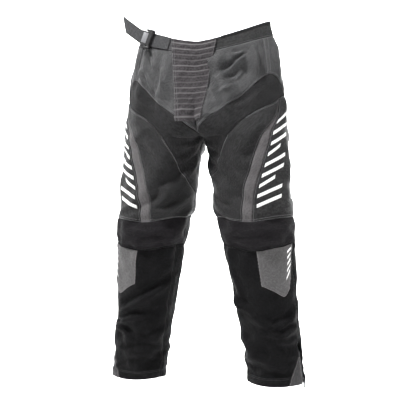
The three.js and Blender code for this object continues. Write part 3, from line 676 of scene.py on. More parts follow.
def weaveHeight(tree, weave, x, y, size):
    # how high the threads stand at each point of the cloth's own x and y, about -1 to 1
    if weave == "plain":
        return times(tree, wave(tree, x, 1 / size), wave(tree, y, 1 / size))
    if weave == "twill":
        return wave(tree, plus(tree, x, times(tree, y, 0.8)), 0.8 / size)
    if weave == "knit":
        zig = calc(tree, "ABSOLUTE", wave(tree, x, 0.5 / size))
        loops = wave(tree, plus(tree, y, times(tree, zig, size * 0.45)), 1 / size)
        return times(tree, loops, calc(tree, "ABSOLUTE", wave(tree, x, 0.5 / size, 0.8)))
    along, across, turns, share = (y, x, 2, 0.25) if weave == "ribs" else (x, y, 1.6, 0.3)
    cords = calc(tree, "ABSOLUTE", wave(tree, along, 0.5 / size))
    return plus(tree, cords, times(tree, wave(tree, across, turns / size), share))


# shares and scales that all the fabrics have in common; contrast spreads the tone's uneven grey, and one share
# darkens the weave's low places with painted shade
fabricLook = {"broad": 0.35, "slub": 0.3, "speckle": 0.9, "middle": 0.775, "contrast": 4.2,
              "paintedGapShade": 0.35, "dust": 0.35, "dustColor": 2.1, "creaseScale": 62.0}


def fabricMaterial(name, color, weave="plain", size=0.0012, rough=0.8, sheen=0.25, depth=0.00018, vary=0.22,
                   stripes=None, gloss=0.25, crumple=0.003):
    material, tree, surfaceNode = nodesOf(name)
    uv = makeNode(tree, "ShaderNodeUVMap", uv_map="weave").outputs[0]
    split = makeNode(tree, "ShaderNodeSeparateXYZ", {0: uv})
    x, y = split.outputs[0], split.outputs[1]
    place = makeNode(tree, "ShaderNodeTexCoord").outputs["Object"]
    height = weaveHeight(tree, weave, x, y, size)
    broad = noiseAt(tree, place, 9.0, 4.0, 0.6)
    slub = noiseAt(tree, uv, 160.0, 3.0, 0.6)
    speckle = noiseAt(tree, uv, 170.0, 2.0, 0.8)
    seam = makeNode(tree, "ShaderNodeAttribute", attribute_name="seam").outputs["Fac"]
    tone = plus(tree, times(tree, broad, fabricLook["broad"]), times(tree, slub, fabricLook["slub"]))
    tone = plus(tree, tone, times(tree, speckle, fabricLook["speckle"]))
    tone = times(tree, calc(tree, "SUBTRACT", tone, fabricLook["middle"]), fabricLook["contrast"])
    base = blendColor(tree, plus(tree, tone, 0.5), shade(color, 1 - vary), shade(color, 1 + vary))
    # lines laid over the base colour; on the fly cover they are painted highlights along the rib crowns
    if stripes:
        highlightColor, factor = stripes(tree, x, y)
        base = blendColor(tree, factor, base, highlightColor)
    threads = times(tree, plus(tree, height, 1.0), 0.5)
    # painted shade: the colour darkens where the threads sink between each other
    paintedGapShade = times(tree, calc(tree, "SUBTRACT", 1.0, threads), fabricLook["paintedGapShade"])
    base = blendColor(tree, paintedGapShade, base, shade(color, 0.35))
    dust = times(tree, times(tree, seam, slub), fabricLook["dust"])
    base = blendColor(tree, dust, base, shade(color, fabricLook["dustColor"]))
    tree.links.new(base, surfaceNode.inputs["Base Color"])
    tree.links.new(plus(tree, times(tree, slub, 0.16), rough - 0.08), surfaceNode.inputs["Roughness"])
    surfaceNode.inputs["Sheen Weight"].default_value = sheen
    surfaceNode.inputs["Sheen Roughness"].default_value = 0.35
    surfaceNode.inputs["Specular IOR Level"].default_value = gloss
    threadHeight = plus(tree, height, times(tree, slub, 0.9))
    low = makeNode(tree, "ShaderNodeBump", {"Height": threadHeight, "Distance": depth, "Strength": 0.8})
    crease = noiseAt(tree, uv, fabricLook["creaseScale"], 5.0, 0.68, 0.9)
    puck = makeNode(tree, "ShaderNodeBump",
                    {"Height": crease, "Distance": crumple, "Strength": 0.9, "Normal": low.outputs[0]})
    tree.links.new(puck.outputs[0], surfaceNode.inputs["Normal"])
    return material


def hardMaterial(name, color, rough, metallic=0.0, grain=420.0, depth=0.00006, wear=0.3):
    material, tree, surfaceNode = nodesOf(name)
    place = makeNode(tree, "ShaderNodeTexCoord").outputs["Object"]
    broad, fine = noiseAt(tree, place, 60.0, 4.0), noiseAt(tree, place, grain, 3.0)
    base = blendColor(tree, broad, shade(color, 1 - wear), shade(color, 1 + wear))
    tree.links.new(base, surfaceNode.inputs["Base Color"])
    tree.links.new(plus(tree, times(tree, fine, 0.22), rough - 0.11), surfaceNode.inputs["Roughness"])
    surfaceNode.inputs["Metallic"].default_value = metallic
    low = makeNode(tree, "ShaderNodeBump", {"Height": fine, "Distance": depth, "Strength": 0.6})
    tree.links.new(low.outputs[0], surfaceNode.inputs["Normal"])
    return material


# the fly cover's ribs, in metres; color is a pale painted highlight along each rib's crown, and long is the
# cover's height along its middle
coverRib = {"pitch": 0.018, "crisp": 14.0, "color": (0.20, 0.19, 0.194), "long": 0.2466}


def coverRibHighlights(tree, x, y):
    # painted highlights along the rib crowns, every second one fainter
    ribs = calc(tree, "ABSOLUTE", wave(tree, y, 0.5 / coverRib["pitch"]))
    bright = calc(tree, "POWER", ribs, coverRib["crisp"])
    second = plus(tree, times(tree, wave(tree, y, 0.25 / coverRib["pitch"]), 0.16), 0.42)
    return coverRib["color"] + (1,), times(tree, bright, second)


colors = {
    "hip": (0.032, 0.032, 0.0335), "cover": (0.030, 0.0265, 0.029), "bandLeft": (0.042, 0.0405, 0.043),
    "bandRight": (0.024, 0.024, 0.0245), "thigh": (0.0140, 0.0137, 0.0144), "groin": (0.0175, 0.0171, 0.0179),
    "stripe": (0.080, 0.0755, 0.0775), "knee": (0.0092, 0.0083, 0.0096), "shin": (0.0024, 0.0024, 0.0029),
    "patch": (0.086, 0.083, 0.084), "insert": (0.037, 0.036, 0.0375), "belt": (0.040, 0.040, 0.042),
    "suede": (0.0042, 0.0042, 0.0047), "thread": (0.13, 0.13, 0.133), "white": (0.80, 0.80, 0.79),
    "binding": (0.012, 0.012, 0.013), "tape": (0.010, 0.010, 0.011), "threadDark": (0.016, 0.016, 0.017),
    "threadGrey": (0.20, 0.19, 0.19), "plastic": (0.006, 0.006, 0.0065), "steel": (0.58, 0.58, 0.6),
    "darkSteel": (0.07, 0.07, 0.075), "plate": (0.20, 0.20, 0.21),
}
# fabrics: name, colour, weave, thread size, roughness, sheen, thread depth, unevenness, and what is special
fabrics = {
    "hip": ("hipNylon", "hip", "plain", 0.0011, 0.46, 0.1, 0.00016, 0.5, {"gloss": 0.34, "crumple": 0.0042}),
    "cover": ("coverRib", "cover", "ribs", 0.0022, 0.72, 0.08, 0.0004, 0.5,
              {"stripes": coverRibHighlights, "gloss": 0.18, "crumple": 0.004}),
    "bandLeft": ("waistWebbing", "bandLeft", "cord", 0.0026, 0.75, 0.1, 0.0005, 0.34, {}),
    "bandRight": ("waistKnit", "bandRight", "knit", 0.0024, 0.85, 0.1, 0.0005, 0.4, {}),
    "seat": ("seatWeave", "thigh", "twill", 0.0013, 0.6, 0.05, 0.0002, 0.4, {"gloss": 0.15}),
    "thigh": ("thighWeave", "thigh", "plain", 0.0014, 0.5, 0.05, 0.00022, 0.66,
              {"gloss": 0.16, "crumple": 0.0048}),
    "groin": ("stretchKnit", "groin", "knit", 0.0018, 0.8, 0.05, 0.0003, 0.6,
              {"gloss": 0.14, "crumple": 0.0045}),
    "yoke": ("yokeRib", "cover", "ribs", 0.006, 0.75, 0.1, 0.0012, 0.3, {}),
    "stripe": ("greyWeave", "stripe", "plain", 0.0011, 0.66, 0.1, 0.00016, 0.24, {}),
    "knee": ("kneeRib", "knee", "ribs", 0.0032, 0.9, 0.05, 0.0006, 0.34, {"gloss": 0.12}),
    "shin": ("shinKnit", "shin", "knit", 0.0013, 0.66, 0.03, 0.0002, 0.6, {"gloss": 0.09, "crumple": 0.004}),
    "patch": ("patchWeave", "patch", "plain", 0.0012, 0.68, 0.1, 0.0002, 0.24, {}),
    "insert": ("insertWeave", "insert", "twill", 0.0014, 0.7, 0.1, 0.0002, 0.24, {}),
    "suede": ("calfSuede", "suede", "plain", 0.0007, 0.95, 0.06, 0.0003, 0.4, {"gloss": 0.1}),
    "belt": ("beltWebbing", "belt", "cord", 0.0024, 0.78, 0.1, 0.0006, 0.3, {}),
    "binding": ("bindingTape", "binding", "ribs", 0.0012, 0.85, 0.03, 0.0002, 0.3, {}),
    "tape": ("zipTape", "tape", "twill", 0.0009, 0.85, 0.05, 0.0002, 0.3, {}),
}
# hard finishes: name, colour, roughness, metallic, grain, its depth and wear
hardFinishes = {
    "thread": ("thread", "thread", 0.7, 0.0, 900.0, 0.00005, 0.25),
    "threadDark": ("threadDark", "threadDark", 0.8, 0.0, 900.0, 0.00005, 0.25),
    "threadGrey": ("threadGrey", "threadGrey", 0.7, 0.0, 900.0, 0.00005, 0.2),
    "print": ("transferPrint", "white", 0.55, 0.0, 700.0, 0.00008, 0.06),
    "plastic": ("mouldedPlastic", "plastic", 0.5, 0.0, 600.0, 0.00005, 0.25),
    "steel": ("satinSteel", "steel", 0.3, 1.0, 500.0, 0.00004, 0.12),
    "darkSteel": ("darkZipMetal", "darkSteel", 0.36, 1.0, 500.0, 0.00004, 0.2),
    "plate": ("leverPlate", "plate", 0.4, 0.2, 300.0, 0.00005, 0.14),
}
mats = {key: fabricMaterial(row[0], colors[row[1]], *row[2:-1], **row[-1]) for key, row in fabrics.items()}
mats.update({key: hardMaterial(row[0], colors[row[1]], *row[2:]) for key, row in hardFinishes.items()})
print("materials made")

# the cloth of each half is simulated once and read back as a height over the smooth surface; slack is the
# cloth's shrinking (less than none, so it is a little too large), inner is where the body inside lies
drapeSettings = {"share": 1.6, "columns": 84, "rows": 120, "slack": -0.03, "frames": 28, "inner": -5.0,
                 "limit": 8.5, "gap": 0.0015, "uneven": 0.00015, "loosest": 0.012}
clothStiffness = {
    "quality": 6, "mass": 0.25, "tension_stiffness": 20, "compression_stiffness": 20, "shear_stiffness": 6,
    "bending_stiffness": 30, "tension_damping": 12, "compression_damping": 12, "air_damping": 4,
    "vertex_group_mass": "pin", "pin_stiffness": 1.0, "shrink_min": drapeSettings["slack"],
}


def pinWeight(u, drop):
    # how firmly each point is held: fully at the waist and the centre seams, partly at the other seams
    def near(seam, firm):
        return firm * np.exp(-((drop - seam(u)) / 10) ** 2)

    centre = (1 - smooth(0.0, 0.05, np.minimum(u, 1 - u))) * (1 - smooth(318, 335, drop))
    waist = 1 - smooth(42, 60, drop)
    seams = near(legHole, 0.30) + near(kneeTop, 0.30) + near(kneeBottom, 0.40) + 0.5 * smooth(1005, 1028, drop)
    knee = 0.12 * smooth(kneeTop(u) - 5, kneeTop(u) + 5, drop)
    knee = knee * (1 - smooth(kneeBottom(u) - 5, kneeBottom(u) + 5, drop))
    least = np.full_like(u, drapeSettings["loosest"])
    return np.clip(np.maximum.reduce([centre, waist, seams + knee, least]), 0, 1)


def drapeGrid(name, side, lift):
    # an even grid over the half, welded later along the leg; the cloth itself starts a little uneven
    rows, columns = drapeSettings["rows"], drapeSettings["columns"]
    bm = bmesh.new()
    bmesh.ops.create_grid(bm, x_segments=columns - 1, y_segments=rows - 1, size=1)
    j = np.array([round((v.co.x + 1) / 2 * (columns - 1)) for v in bm.verts])
    i = np.array([round((1 - v.co.y) / 2 * (rows - 1)) for v in bm.verts])
    u, drop = j / (columns - 1), i / (rows - 1) * garment["hem"]
    inside = np.clip(u, 1e-4, 1 - 1e-4)
    p = onCloth(np.full(len(u), float(side)), inside, drop, np.full(len(u), lift))
    rng = np.random.default_rng(5 + side)
    for v, q in zip(bm.verts, p + (rng.normal(0, drapeSettings["uneven"], p.shape) if lift == 0 else 0)):
        v.co = q
    if side < 0:
        bmesh.ops.reverse_faces(bm, faces=bm.faces)
    return newPiece(name, bm, mats["thigh"]), i, j, u, drop, p


def weldInseam(cloth, i, j, drop):
    # the grid's two side edges are one line on the leg; returns where each grid point ends up
    lastColumn = drapeSettings["columns"] - 1
    first = {a: k for k, (a, b) in enumerate(zip(i, j)) if b == 0}
    last = {a: k for k, (a, b) in enumerate(zip(i, j)) if b == lastColumn}
    bm = bmesh.new()
    bm.from_mesh(cloth.data)
    bm.verts.ensure_lookup_table()
    order = np.arange(len(bm.verts))
    pairs = {}
    for row, k in last.items():
        if drop[k] > garment["crotch"] + 4:
            pairs[bm.verts[k]] = bm.verts[first[row]]
            order[k] = first[row]
    kept = {k: n for n, k in enumerate(k for k in range(len(order)) if order[k] == k)}
    bmesh.ops.weld_verts(bm, targetmap=pairs)
    bm.to_mesh(cloth.data)
    bm.free()
    return [kept[int(k)] for k in order]


def clothHalf(side):
    scene = bpy.context.scene
    body = drapeGrid("drapeBody", side, drapeSettings["inner"])[0]
    cloth, i, j, u, drop, p = drapeGrid("drapeCloth", side, 0.0)
    body.modifiers.new("collide", "COLLISION")
    body.collision.thickness_outer = drapeSettings["gap"]
    body.collision.cloth_friction = 12
    group = cloth.vertex_groups.new(name="pin")
    for k, w in enumerate(pinWeight(u, drop)):
        group.add([k], float(w), "REPLACE")
    places = weldInseam(cloth, i, j, drop)
    drapery = cloth.modifiers.new("cloth", "CLOTH")
    for key, value in clothStiffness.items():
        setattr(drapery.settings, key, value)
    drapery.collision_settings.collision_quality = 2
    drapery.collision_settings.distance_min = drapeSettings["gap"]
    drapery.point_cache.frame_end = drapeSettings["frames"]
    scene.frame_start, scene.frame_end = 1, drapeSettings["frames"]
    for frameNumber in range(1, drapeSettings["frames"] + 1):
        scene.frame_set(frameNumber)
    shaped = cloth.evaluated_get(bpy.context.evaluated_depsgraph_get())
    flat = np.empty(len(shaped.data.vertices) * 3)
    shaped.data.vertices.foreach_get("co", flat)
    moved = flat.reshape(-1, 3)[places]
    n = slopes(np.clip(u, 1e-4, 1 - 1e-4), drop)[2] * np.array([side, 1, 1])
    height = ((moved - p) * n).sum(-1) * 1000
    table = np.zeros((drapeSettings["rows"], drapeSettings["columns"]))
    table[i, j] = np.clip(height, -drapeSettings["limit"], drapeSettings["limit"])
    for piece in (body, cloth):
        bpy.data.objects.remove(piece)
    scene.frame_set(1)
    return table


def soften(table, passes):
    # averages each height with its neighbours, which widens the folds a little each time
    for n in range(passes):
        padded = np.pad(table, 1, mode="edge")
        beside = padded[:-2, 1:-1] + padded[2:, 1:-1] + padded[1:-1, :-2] + padded[1:-1, 2:]
        table = (beside + 2 * table) / 6
    return table


def finer(table, parts):
    # read the table between its rows and columns, then round off the corners
    rows, columns = table.shape
    y = np.linspace(0, rows - 1, (rows - 1) * parts + 1)
    x = np.linspace(0, columns - 1, (columns - 1) * parts + 1)
    tall = np.stack([np.interp(y, np.arange(rows), table[:, k]) for k in range(columns)], 1)
    wide = np.stack([np.interp(x, np.arange(columns), row) for row in tall])
    return soften(wide, 5)


def settle(table):
    folds = soften(table, 1) - soften(table, 90)
    folds[-1] = folds[-2]
    return finer(folds * drapeSettings["share"], 3)


for side in (1, -1):
    folds = settle(clothHalf(side))
    drapes[side] = (folds, folds.shape[0], folds.shape[1])
print("cloth simulated")

# where each piece hangs: the hip's and knee's pieces stay where they are, the shin's hang from the empty of
# their own side's shin, and the others from the empty their zone names
halves = ((1, "left"), (-1, "right"))
sheets = {}


def bend(piece, zone, side):
    label = "left" if side > 0 else "right"
    if zone == "hip":
        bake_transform(piece)
    elif zone == "knee":
        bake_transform(piece)
    elif zone == "shin":
        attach(piece, "shin_" + label)
    else:
        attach(piece, zone)


def panelPiece(name, node, spec, material, zone, cell, above):
    piece, flat, area = sewPanel(name, spec, mats[material], cell)
    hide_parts(node)
    bend(piece, zone, spec.get("side", 1))
    sheets[name] = (piece, flat, area, above)


# heights in mm of the fly cover's ribs and its piping, the yoke's shirring and the knee's bands
def coverShape(c, drop, s, t):
    rib = np.abs(np.sin(np.pi * (1 - t) * coverRib["long"] / coverRib["pitch"])) ** 6
    sag = np.sin(17 * s + 31 * t) * np.sin(23 * t + 5 * s)
    piping = np.exp(-((s - 0.03) / 0.03) ** 2)
    return 1.1 * rib + 0.9 * sag + 0.8 * piping + 2.0 + mix(0.8, 2.2, smooth(0, 0.2, s))


def yokeShape(c, drop, s, t):
    return 1.3 * np.abs(np.sin(np.pi * t * 7)) + 0.4 * np.sin(c * 260)


def kneeShape(c, drop, s, t):
    rows = 0.22 * np.abs(np.sin(np.pi * t * 9))
    pinch = smooth(0.56, 0.66, c) * (1 - smooth(0.84, 0.94, c))
    return rows + pinch * 1.6 * np.sin(np.pi * t * 6) + 0.4 * np.sin(2 * np.pi * 11 * c + t * 9)


# Each panel's four edges, its crown (puff), the seams it is sewn along (l, r, t, b), its share of the wrinkles
# (calm), and its lift off the surface, in mm. Walls are in metres.
specs = {}
for side, label in halves:
    half = {"side": side}
    band = garment["waistband"]
    specs["waist", side] = dict(half, left=centreFront, right=0.5, top=0, bottom=band, puff=1.2, seams="lrb",
                                calm=0.3)
    specs["hip", side] = dict(half, left=centreFront, right=sideFront, top=band, bottom=legHole)
    specs["hipSide", side] = dict(half, left=sideFront, right=sideBack, top=band, bottom=legHole)
    specs["seat", side] = dict(half, left=sideBack, right=1.0, top=yokeEdge, bottom=legHole)
    specs["groin", side] = dict(half, left=0.0, right=sideBack, top=legHole, bottom=thighTop, puff=1.0,
                                calm=0.8)
    specs["thighFront", side] = dict(half, left=0.0, right=stripeInner, top=thighTop, bottom=kneeTop, puff=3.4)
    specs["stripe", side] = dict(half, left=stripeInner, right=stripeOuter, top=thighTop, bottom=kneeTop,
                                 puff=1.8)
    specs["thighSide", side] = dict(half, left=stripeOuter, right=sideBack, top=thighTop, bottom=kneeTop,
                                    puff=3.0)
    specs["thighBack", side] = dict(half, left=sideBack, right=1.0, top=legHole, bottom=kneeTop, puff=3.0)
    specs["knee", side] = dict(half, left=0.0, right=1.0, top=kneeTop, bottom=kneeBottom, puff=1.2, seams="tb",
                               shape=kneeShape)
    specs["shin", side] = dict(half, left=innerFront, right=shinOuter, top=kneeBottom, bottom=hemEdge, puff=2.4,
                               seams="lrt")
    specs["patch", side] = dict(half, left=0.268, right=patchOuter, top=patchTop, bottom=patchBottom, puff=1.0,
                                valley=0.6, lift=2.6, wall=0.0011)
    specs["insert", side] = dict(half, left=insertInner, right=zipFront, top=948, bottom=hemEdge, puff=1.2,
                                 seams="lrt")
    specs["calf", side] = dict(half, left=zipBack, right=innerBack, top=kneeBottom, bottom=hemEdge, puff=2.4,
                               seams="lrt")
    specs["calfInner", side] = dict(half, left=innerBack - 1, right=innerFront, top=around(kneeBottom),
                                    bottom=hemEdge, puff=1.8, seams="lrt")
    specs["facing", side] = dict(half, left=ankleZip + 0.075 - 1, right=ankleZip - 0.075, top=facingTop,
                                 bottom=facingFoot, puff=0.0, valley=0.0, lift=-3.2, wall=0.0009)
specs["waistBack"] = {"map": "back", "left": -0.5, "right": 0.5, "top": 0, "bottom": garment["waistband"],
                      "puff": 1.2, "seams": "lrb", "calm": 0.3}
specs["yoke"] = {"map": "back", "left": sideBack - 1, "right": 1 - sideBack, "top": garment["waistband"],
                 "bottom": lambda c: yokeEdge(1 - np.abs(c)), "puff": 1.0, "shape": yokeShape}
specs["elastic"] = {"map": "back", "left": -0.38, "right": 0.38, "top": 5, "bottom": 37, "puff": 0.0,
                    "valley": 0.0, "calm": 0.3, "lift": -3.0, "wall": 0.001}


def coverEdge(xTop, xLow):
    return tabled(lambda drop: uAt(mix(xTop, xLow, drop / 256), drop))


def coverFoot(c):
    return 268 - 40 * c


specs["cover"] = {"map": "front", "left": coverEdge(-85, -56), "right": coverEdge(57, 27), "top": 1,
                  "bottom": coverFoot, "puff": 0.6, "valley": 0.8, "calm": 0.35, "shape": coverShape,
                  "wall": 0.0016}

# cloth piece, node it stands for, pattern, fabric, where it bends, slot, cell in mm, and what it hangs from
# (its own side's piece where there are two)
sidePanels = (
    ("waist_front_cloth", "waistband_front", "waist", None, "seat", "waistband_webbing", 2.6,
     "waist_back_cloth"),
    ("hip_cloth", "hip_panel", "hip", "hip", "hip", "hip_nylon", None, "waist_front_cloth"),
    ("hip_side_cloth", "hip_side", "hipSide", "hip", "hip", "hip_nylon", None, "waist_front_cloth"),
    ("seat_cloth", "seat_panel", "seat", "seat", "hip", "tough_fabric", None, "yoke_cloth"),
    ("groin_cloth", "groin_stretch", "groin", "groin", "hip", "stretch_knit", 2.8, "hip_cloth"),
    ("thigh_front_cloth", "thigh_front", "thighFront", "thigh", "hip", "tough_fabric", None, "groin_cloth"),
    ("thigh_stripe_cloth", "thigh_stripe", "stripe", "stripe", "hip", "grey_fabric", 2.4, "groin_cloth"),
    ("thigh_side_cloth", "thigh_side", "thighSide", "thigh", "hip", "tough_fabric", None, "groin_cloth"),
    ("thigh_back_cloth", "thigh_back", "thighBack", "thigh", "hip", "tough_fabric", None, "seat_cloth"),
    ("knee_cloth", "knee_stretch", "knee", "knee", "knee", "stretch_knit", 2.6, "thigh_front_cloth"),
    ("shin_cloth", "shin_front", "shin", "shin", "shin", "shin_knit", 3.0, "knee_cloth"),
    ("shin_patch_cloth", "shin_patch", "patch", "patch", "shin", "grey_fabric", 2.6, "shin_cloth"),
    ("ankle_insert_cloth", "ankle_insert", "insert", "insert", "shin", "grey_fabric", 2.6, "shin_cloth"),
    ("calf_cloth", "calf_back", "calf", "shin", "shin", "shin_knit", None, "knee_cloth"),
    ("calf_inner_cloth", "calf_inner", "calfInner", "suede", "shin", "suede", None, "knee_cloth"),
    ("hem_facing_cloth", "hem_facing", "facing", "binding", "shin", "waistband_webbing", 4.0, "shin_cloth"),
)
middlePanels = (
    ("waist_back_cloth", "waistband_back", "waistBack", "bandRight", "seat", "waistband_webbing", 2.8,
     "waist_front_cloth_left"),
    ("yoke_cloth", "back_yoke", "yoke", "yoke", "seat", "ribbed_fabric", 2.4, "waist_back_cloth"),
    ("waist_elastic_cloth", "waist_elastic", "elastic", "binding", "seat", "elastic", 4.0, "waist_back_cloth"),
    ("fly_cover_cloth", "fly_cover", "cover", "cover", "fly_flap", "ribbed_fabric", 1.9,
     "waist_front_cloth_right"),
)
for side, label in halves:
    bandFabric = "bandRight" if side > 0 else "bandLeft"
    for name, node, key, fabricName, zone, slot, cell, above in sidePanels:
        panelPiece(name + "_" + label, node + "_" + label, specs[key, side], fabricName or bandFabric, zone,
                   cell, above)
    print("panels of the", label, "half sewn")
for name, node, key, fabricName, zone, slot, cell, above in middlePanels:
    panelPiece(name, node, specs[key], fabricName, zone, cell, above)


# the tape folded over the waist's edge, from outside over the edge to inside, in mm: how far down from the
# edge and how far off the cloth
waistFold = [(8.5, 1.5), (6, 1.9), (3, 2.0), (0.2, 1.9), (-1.0, 1.0), (-1.5, -0.2), (-1.0, -1.6), (0.4, -2.4),
             (4, -2.6), (7, -2.5)]
bindingSize = {"wall": 0.0006, "step": 0.004, "row": 0.002}


def bindWaist(name, count, edgeOf, side):
    last = len(waistFold) - 1

    def place(s, t):
        k = np.array([round(x) for x in t * last])
        down, lift = np.array(waistFold)[k].T
        sides, u, drop = edgeOf(s)
        p = onCloth(sides, u, drop + np.maximum(down, 0), lift)
        p[:, 2] -= np.minimum(down, 0) / 1000
        return p, np.stack([s * count * bindingSize["step"], k * bindingSize["row"]], -1)

    bm = layGrid(count, last, place)
    bmesh.ops.recalc_face_normals(bm, faces=bm.faces)
    piece = newPiece(name, bm, mats["binding"])
    giveWall(piece, bindingSize["wall"], 0)
    bend(piece, "seat", side)


def waistFrontEdge(side):
    # the front's binding starts beside the fly cover
    start = 0.105 if side > 0 else 0.16
    return lambda s: (np.full_like(s, float(side)), mix(start, 0.5, s), np.zeros_like(s))


def waistBackEdge(s):
    c = mix(-0.5, 0.5, s)
    return np.where(c < 0, -1.0, 1.0), 1 - np.abs(c), np.zeros_like(c)


for side, label in halves:
    bindWaist("waist_binding_front_" + label, 110, waistFrontEdge(side), side)
bindWaist("waist_binding_back", 200, waistBackEdge, 1)
print("bindings made")

# rows of topstitching: the panel, its edge, and how far in from it each row runs, in mm
hipRows = (
    ("hip", "b", (2.6, 8.2)), ("hip", "r", (2.4,)), ("hipSide", "l", (2.4, 8.0)), ("hipSide", "b", (2.6, 8.2)),
    ("hip", "t", (2.4,)), ("hipSide", "t", (2.4,)), ("seat", "t", (2.6, 7.6)), ("seat", "r", (2.6,)),
    ("seat", "b", (2.6, 8.2)), ("thighFront", "t", (2.6, 7.4)), ("thighFront", "r", (2.4,)),
    ("thighSide", "l", (2.4,)), ("thighSide", "t", (2.6,)), ("thighFront", "b", (2.6, 8.4)),
    ("thighSide", "b", (2.6, 8.4)), ("thighBack", "b", (2.6, 8.4)), ("thighBack", "l", (2.6, 7.6)),
    ("stripe", "b", (2.6, 8.4)),
)
shinRows = (
    ("shin", "t", (2.6,)), ("calf", "t", (2.6,)), ("shin", "b", (22.0, 26.0)), ("calf", "b", (22.0, 26.0)),
    ("calfInner", "b", (22.0,)), ("calfInner", "l", (2.4,)), ("calfInner", "r", (2.4,)),
    ("calf", "l", (2.6, 6.4)),
)
greyRows = (
    ("patch", "l", (2.4,)), ("patch", "r", (2.4,)), ("patch", "b", (2.4,)), ("insert", "l", (2.2,)),
    ("insert", "r", (2.2,)),
)
# each bank of stitches is one piece: its thread and where it bends
bankThreads = {"hip": ("thread", "hip"), "shin": ("threadDark", "shin"), "grey": ("threadGrey", "shin"),
               "seat": ("thread", "seat"), "cover": ("thread", "fly_flap")}
for side, label in halves:
    for bank, rows in (("hip", hipRows), ("shin", shinRows), ("grey", greyRows)):
        for key, edge, offsets in rows:
            for offset in offsets:
                stitchRow(bank + "_" + label, specs[key, side], edge, offset)
    stitchRow("seat", specs["waist", side], "b", 3.0)
stitchRow("seat", specs["waistBack"], "b", 3.0)
stitchRow("seat", specs["yoke"], "b", 2.6)
for edge, offset in (("l", 3.0), ("l", 9.0), ("r", 3.0), ("b", 3.0)):
    stitchRow("cover", specs["cover"], edge, offset)
for bank in stitchBanks:
    finish, zone = bankThreads[bank.split("_")[0]]
    bend(makeStitches(bank, mats[finish]), zone, -1 if bank.endswith("right") else 1)
print("stitches made")


def straightFrame(low, high, outward):
    y = (high - low) / np.linalg.norm(high - low)
    x = np.cross(y, outward)
    x /= np.linalg.norm(x)
    return low, x, y, np.cross(x, y)


def clothPoint(side, u, drop, lift):
    return onCloth(np.array([float(side)]), np.array([u]), np.array([float(drop)]), np.array([float(lift)]))[0]


def clothNormal(side, u, drop):
    n = slopes(np.array([u]), np.array([float(drop)]))[2][0]
    return n * np.array([side, 1, 1])


# in metres; a tooth's width, height and depth; bend curls the ankle tape away from the teeth, per metre
zipSize = {"tape": 0.0096, "tooth": (0.0021, 0.0013, 0.0022), "pitch": 0.0024, "gap": 0.00085, "bend": 35.0,
           "foot": 0.0006, "beside": 0.0009, "wall": 0.0007}


def zipHalf(name, node, low, high, outward, hand, curl, zone, side):
    # teeth as small blocks along the edge of a woven tape
    origin, x, y, z = straightFrame(low, high, outward)
    length = np.linalg.norm(high - low)
    wide, tall, deep = zipSize["tooth"]
    bm = bmesh.new()
    for k in range(int(length / zipSize["pitch"])):
        along = (k + (0.5 if hand > 0 else 0.0)) * zipSize["pitch"] + zipSize["foot"]
        centre = origin + x * hand * (zipSize["gap"] + wide / 2) + y * (along + tall / 2)
        blockAt(bm, centre, (x, y, z), (wide, tall, deep))
    bmesh.ops.bevel(bm, geom=bm.edges, offset=0.0002, affect="EDGES", segments=1, profile=0.5, material=-1)
    teeth = newPiece(name + "_teeth", bm, mats["darkSteel"])
    bend(teeth, zone, side)

    def place(s, t):
        out = zipSize["beside"] + s * zipSize["tape"]
        points = origin + np.outer(hand * (zipSize["gap"] + out), x) + np.outer((1 - t) * length, y)
        return points - np.outer(curl * out ** 2, z), np.stack([s * 0.012, (1 - t) * length], -1)

    tape = newPiece(name + "_tape", layGrid(8, 40, place), mats["tape"])
    giveWall(tape, zipSize["wall"], 0)
    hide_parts(node)
    bend(tape, zone, side)


for side, label in halves:
    high, low = (clothPoint(side, ankleZip, drop, -3.9) for drop in (934, 1020))
    outward = clothNormal(side, ankleZip, 977)
    for end, hand in (("front", -side), ("back", side)):
        zipHalf("ankle_%s_%s" % (end, label), "ankle_zip_%s_%s" % (end, label), low, high, outward, hand,
                zipSize["bend"], "shin", side)
high, low = (clothPoint(1, 0.0, drop, -4.8) for drop in (58, 240))
for label, hand in (("left", 1), ("right", -1)):
    zipHalf("fly_" + label, "fly_zip_" + label, low, high, np.array([0.0, -1.0, 0.0]), hand, 0.0, "seat", 1)
print("zips made")

# sizes in mm, walls in metres. The webbing is flat on the waistband where it touches, and its tail climbs from
# bendFrom on. Its frame has x along the webbing, y down across it and z off the cloth.
beltSize = {"back": 21, "ahead": 178, "width": 38, "slant": 33, "wall": 0.0016, "lift": 1.6, "clear": 4,
            "cover": 85, "climb": 38, "bendFrom": 70, "curve": 1.12, "middle": 21, "liftFrom": 95,
            "liftTail": 2.5}
touch = float(beltSize["back"] + beltSize["clear"] + beltSize["cover"])
touch = float(uAt(np.array([touch]), np.array([float(beltSize["middle"])]))[0])
beltX = slopes(np.array([touch]), np.array([float(beltSize["middle"])]))[0][0] * np.array([-1, 1, 1])
beltX = -beltX / np.linalg.norm(beltX) if beltX[0] > 0 else beltX / np.linalg.norm(beltX)
beltZ = clothNormal(-1, touch, beltSize["middle"])
beltY = np.cross(beltZ, beltX)
beltY /= np.linalg.norm(beltY)
beltO = clothPoint(-1, touch, beltSize["middle"], beltSize["lift"])


def beltPoint(along, down, off):
    return beltO + (np.outer(along, beltX) + np.outer(down, beltY) + np.outer(off, beltZ)) / 1000


def placeBelt(s, t):
    t = 1 - t
    size = beltSize
    down = (t - 0.5) * size["width"]
    along = mix(-size["back"], size["ahead"] - size["slant"] * t, s)
    toEdge = np.minimum(t, 1 - t) * size["width"]
    selvedge = 1.1 + 0.35 * np.exp(-((toEdge / 1.6 - 0.6) ** 2))
    tail = np.sin((along - size["liftFrom"]) / (size["ahead"] - size["liftFrom"]) * 2.4)
    lift = selvedge + size["liftTail"] * smooth(size["liftFrom"], size["ahead"], along) * tail
    share = np.maximum(0.0, (along - size["bendFrom"]) / (size["ahead"] - size["bendFrom"]))
    points = beltPoint(along, down - size["climb"] * share ** size["curve"], lift)
    return points, np.stack([along / 1000, down / 1000], -1)


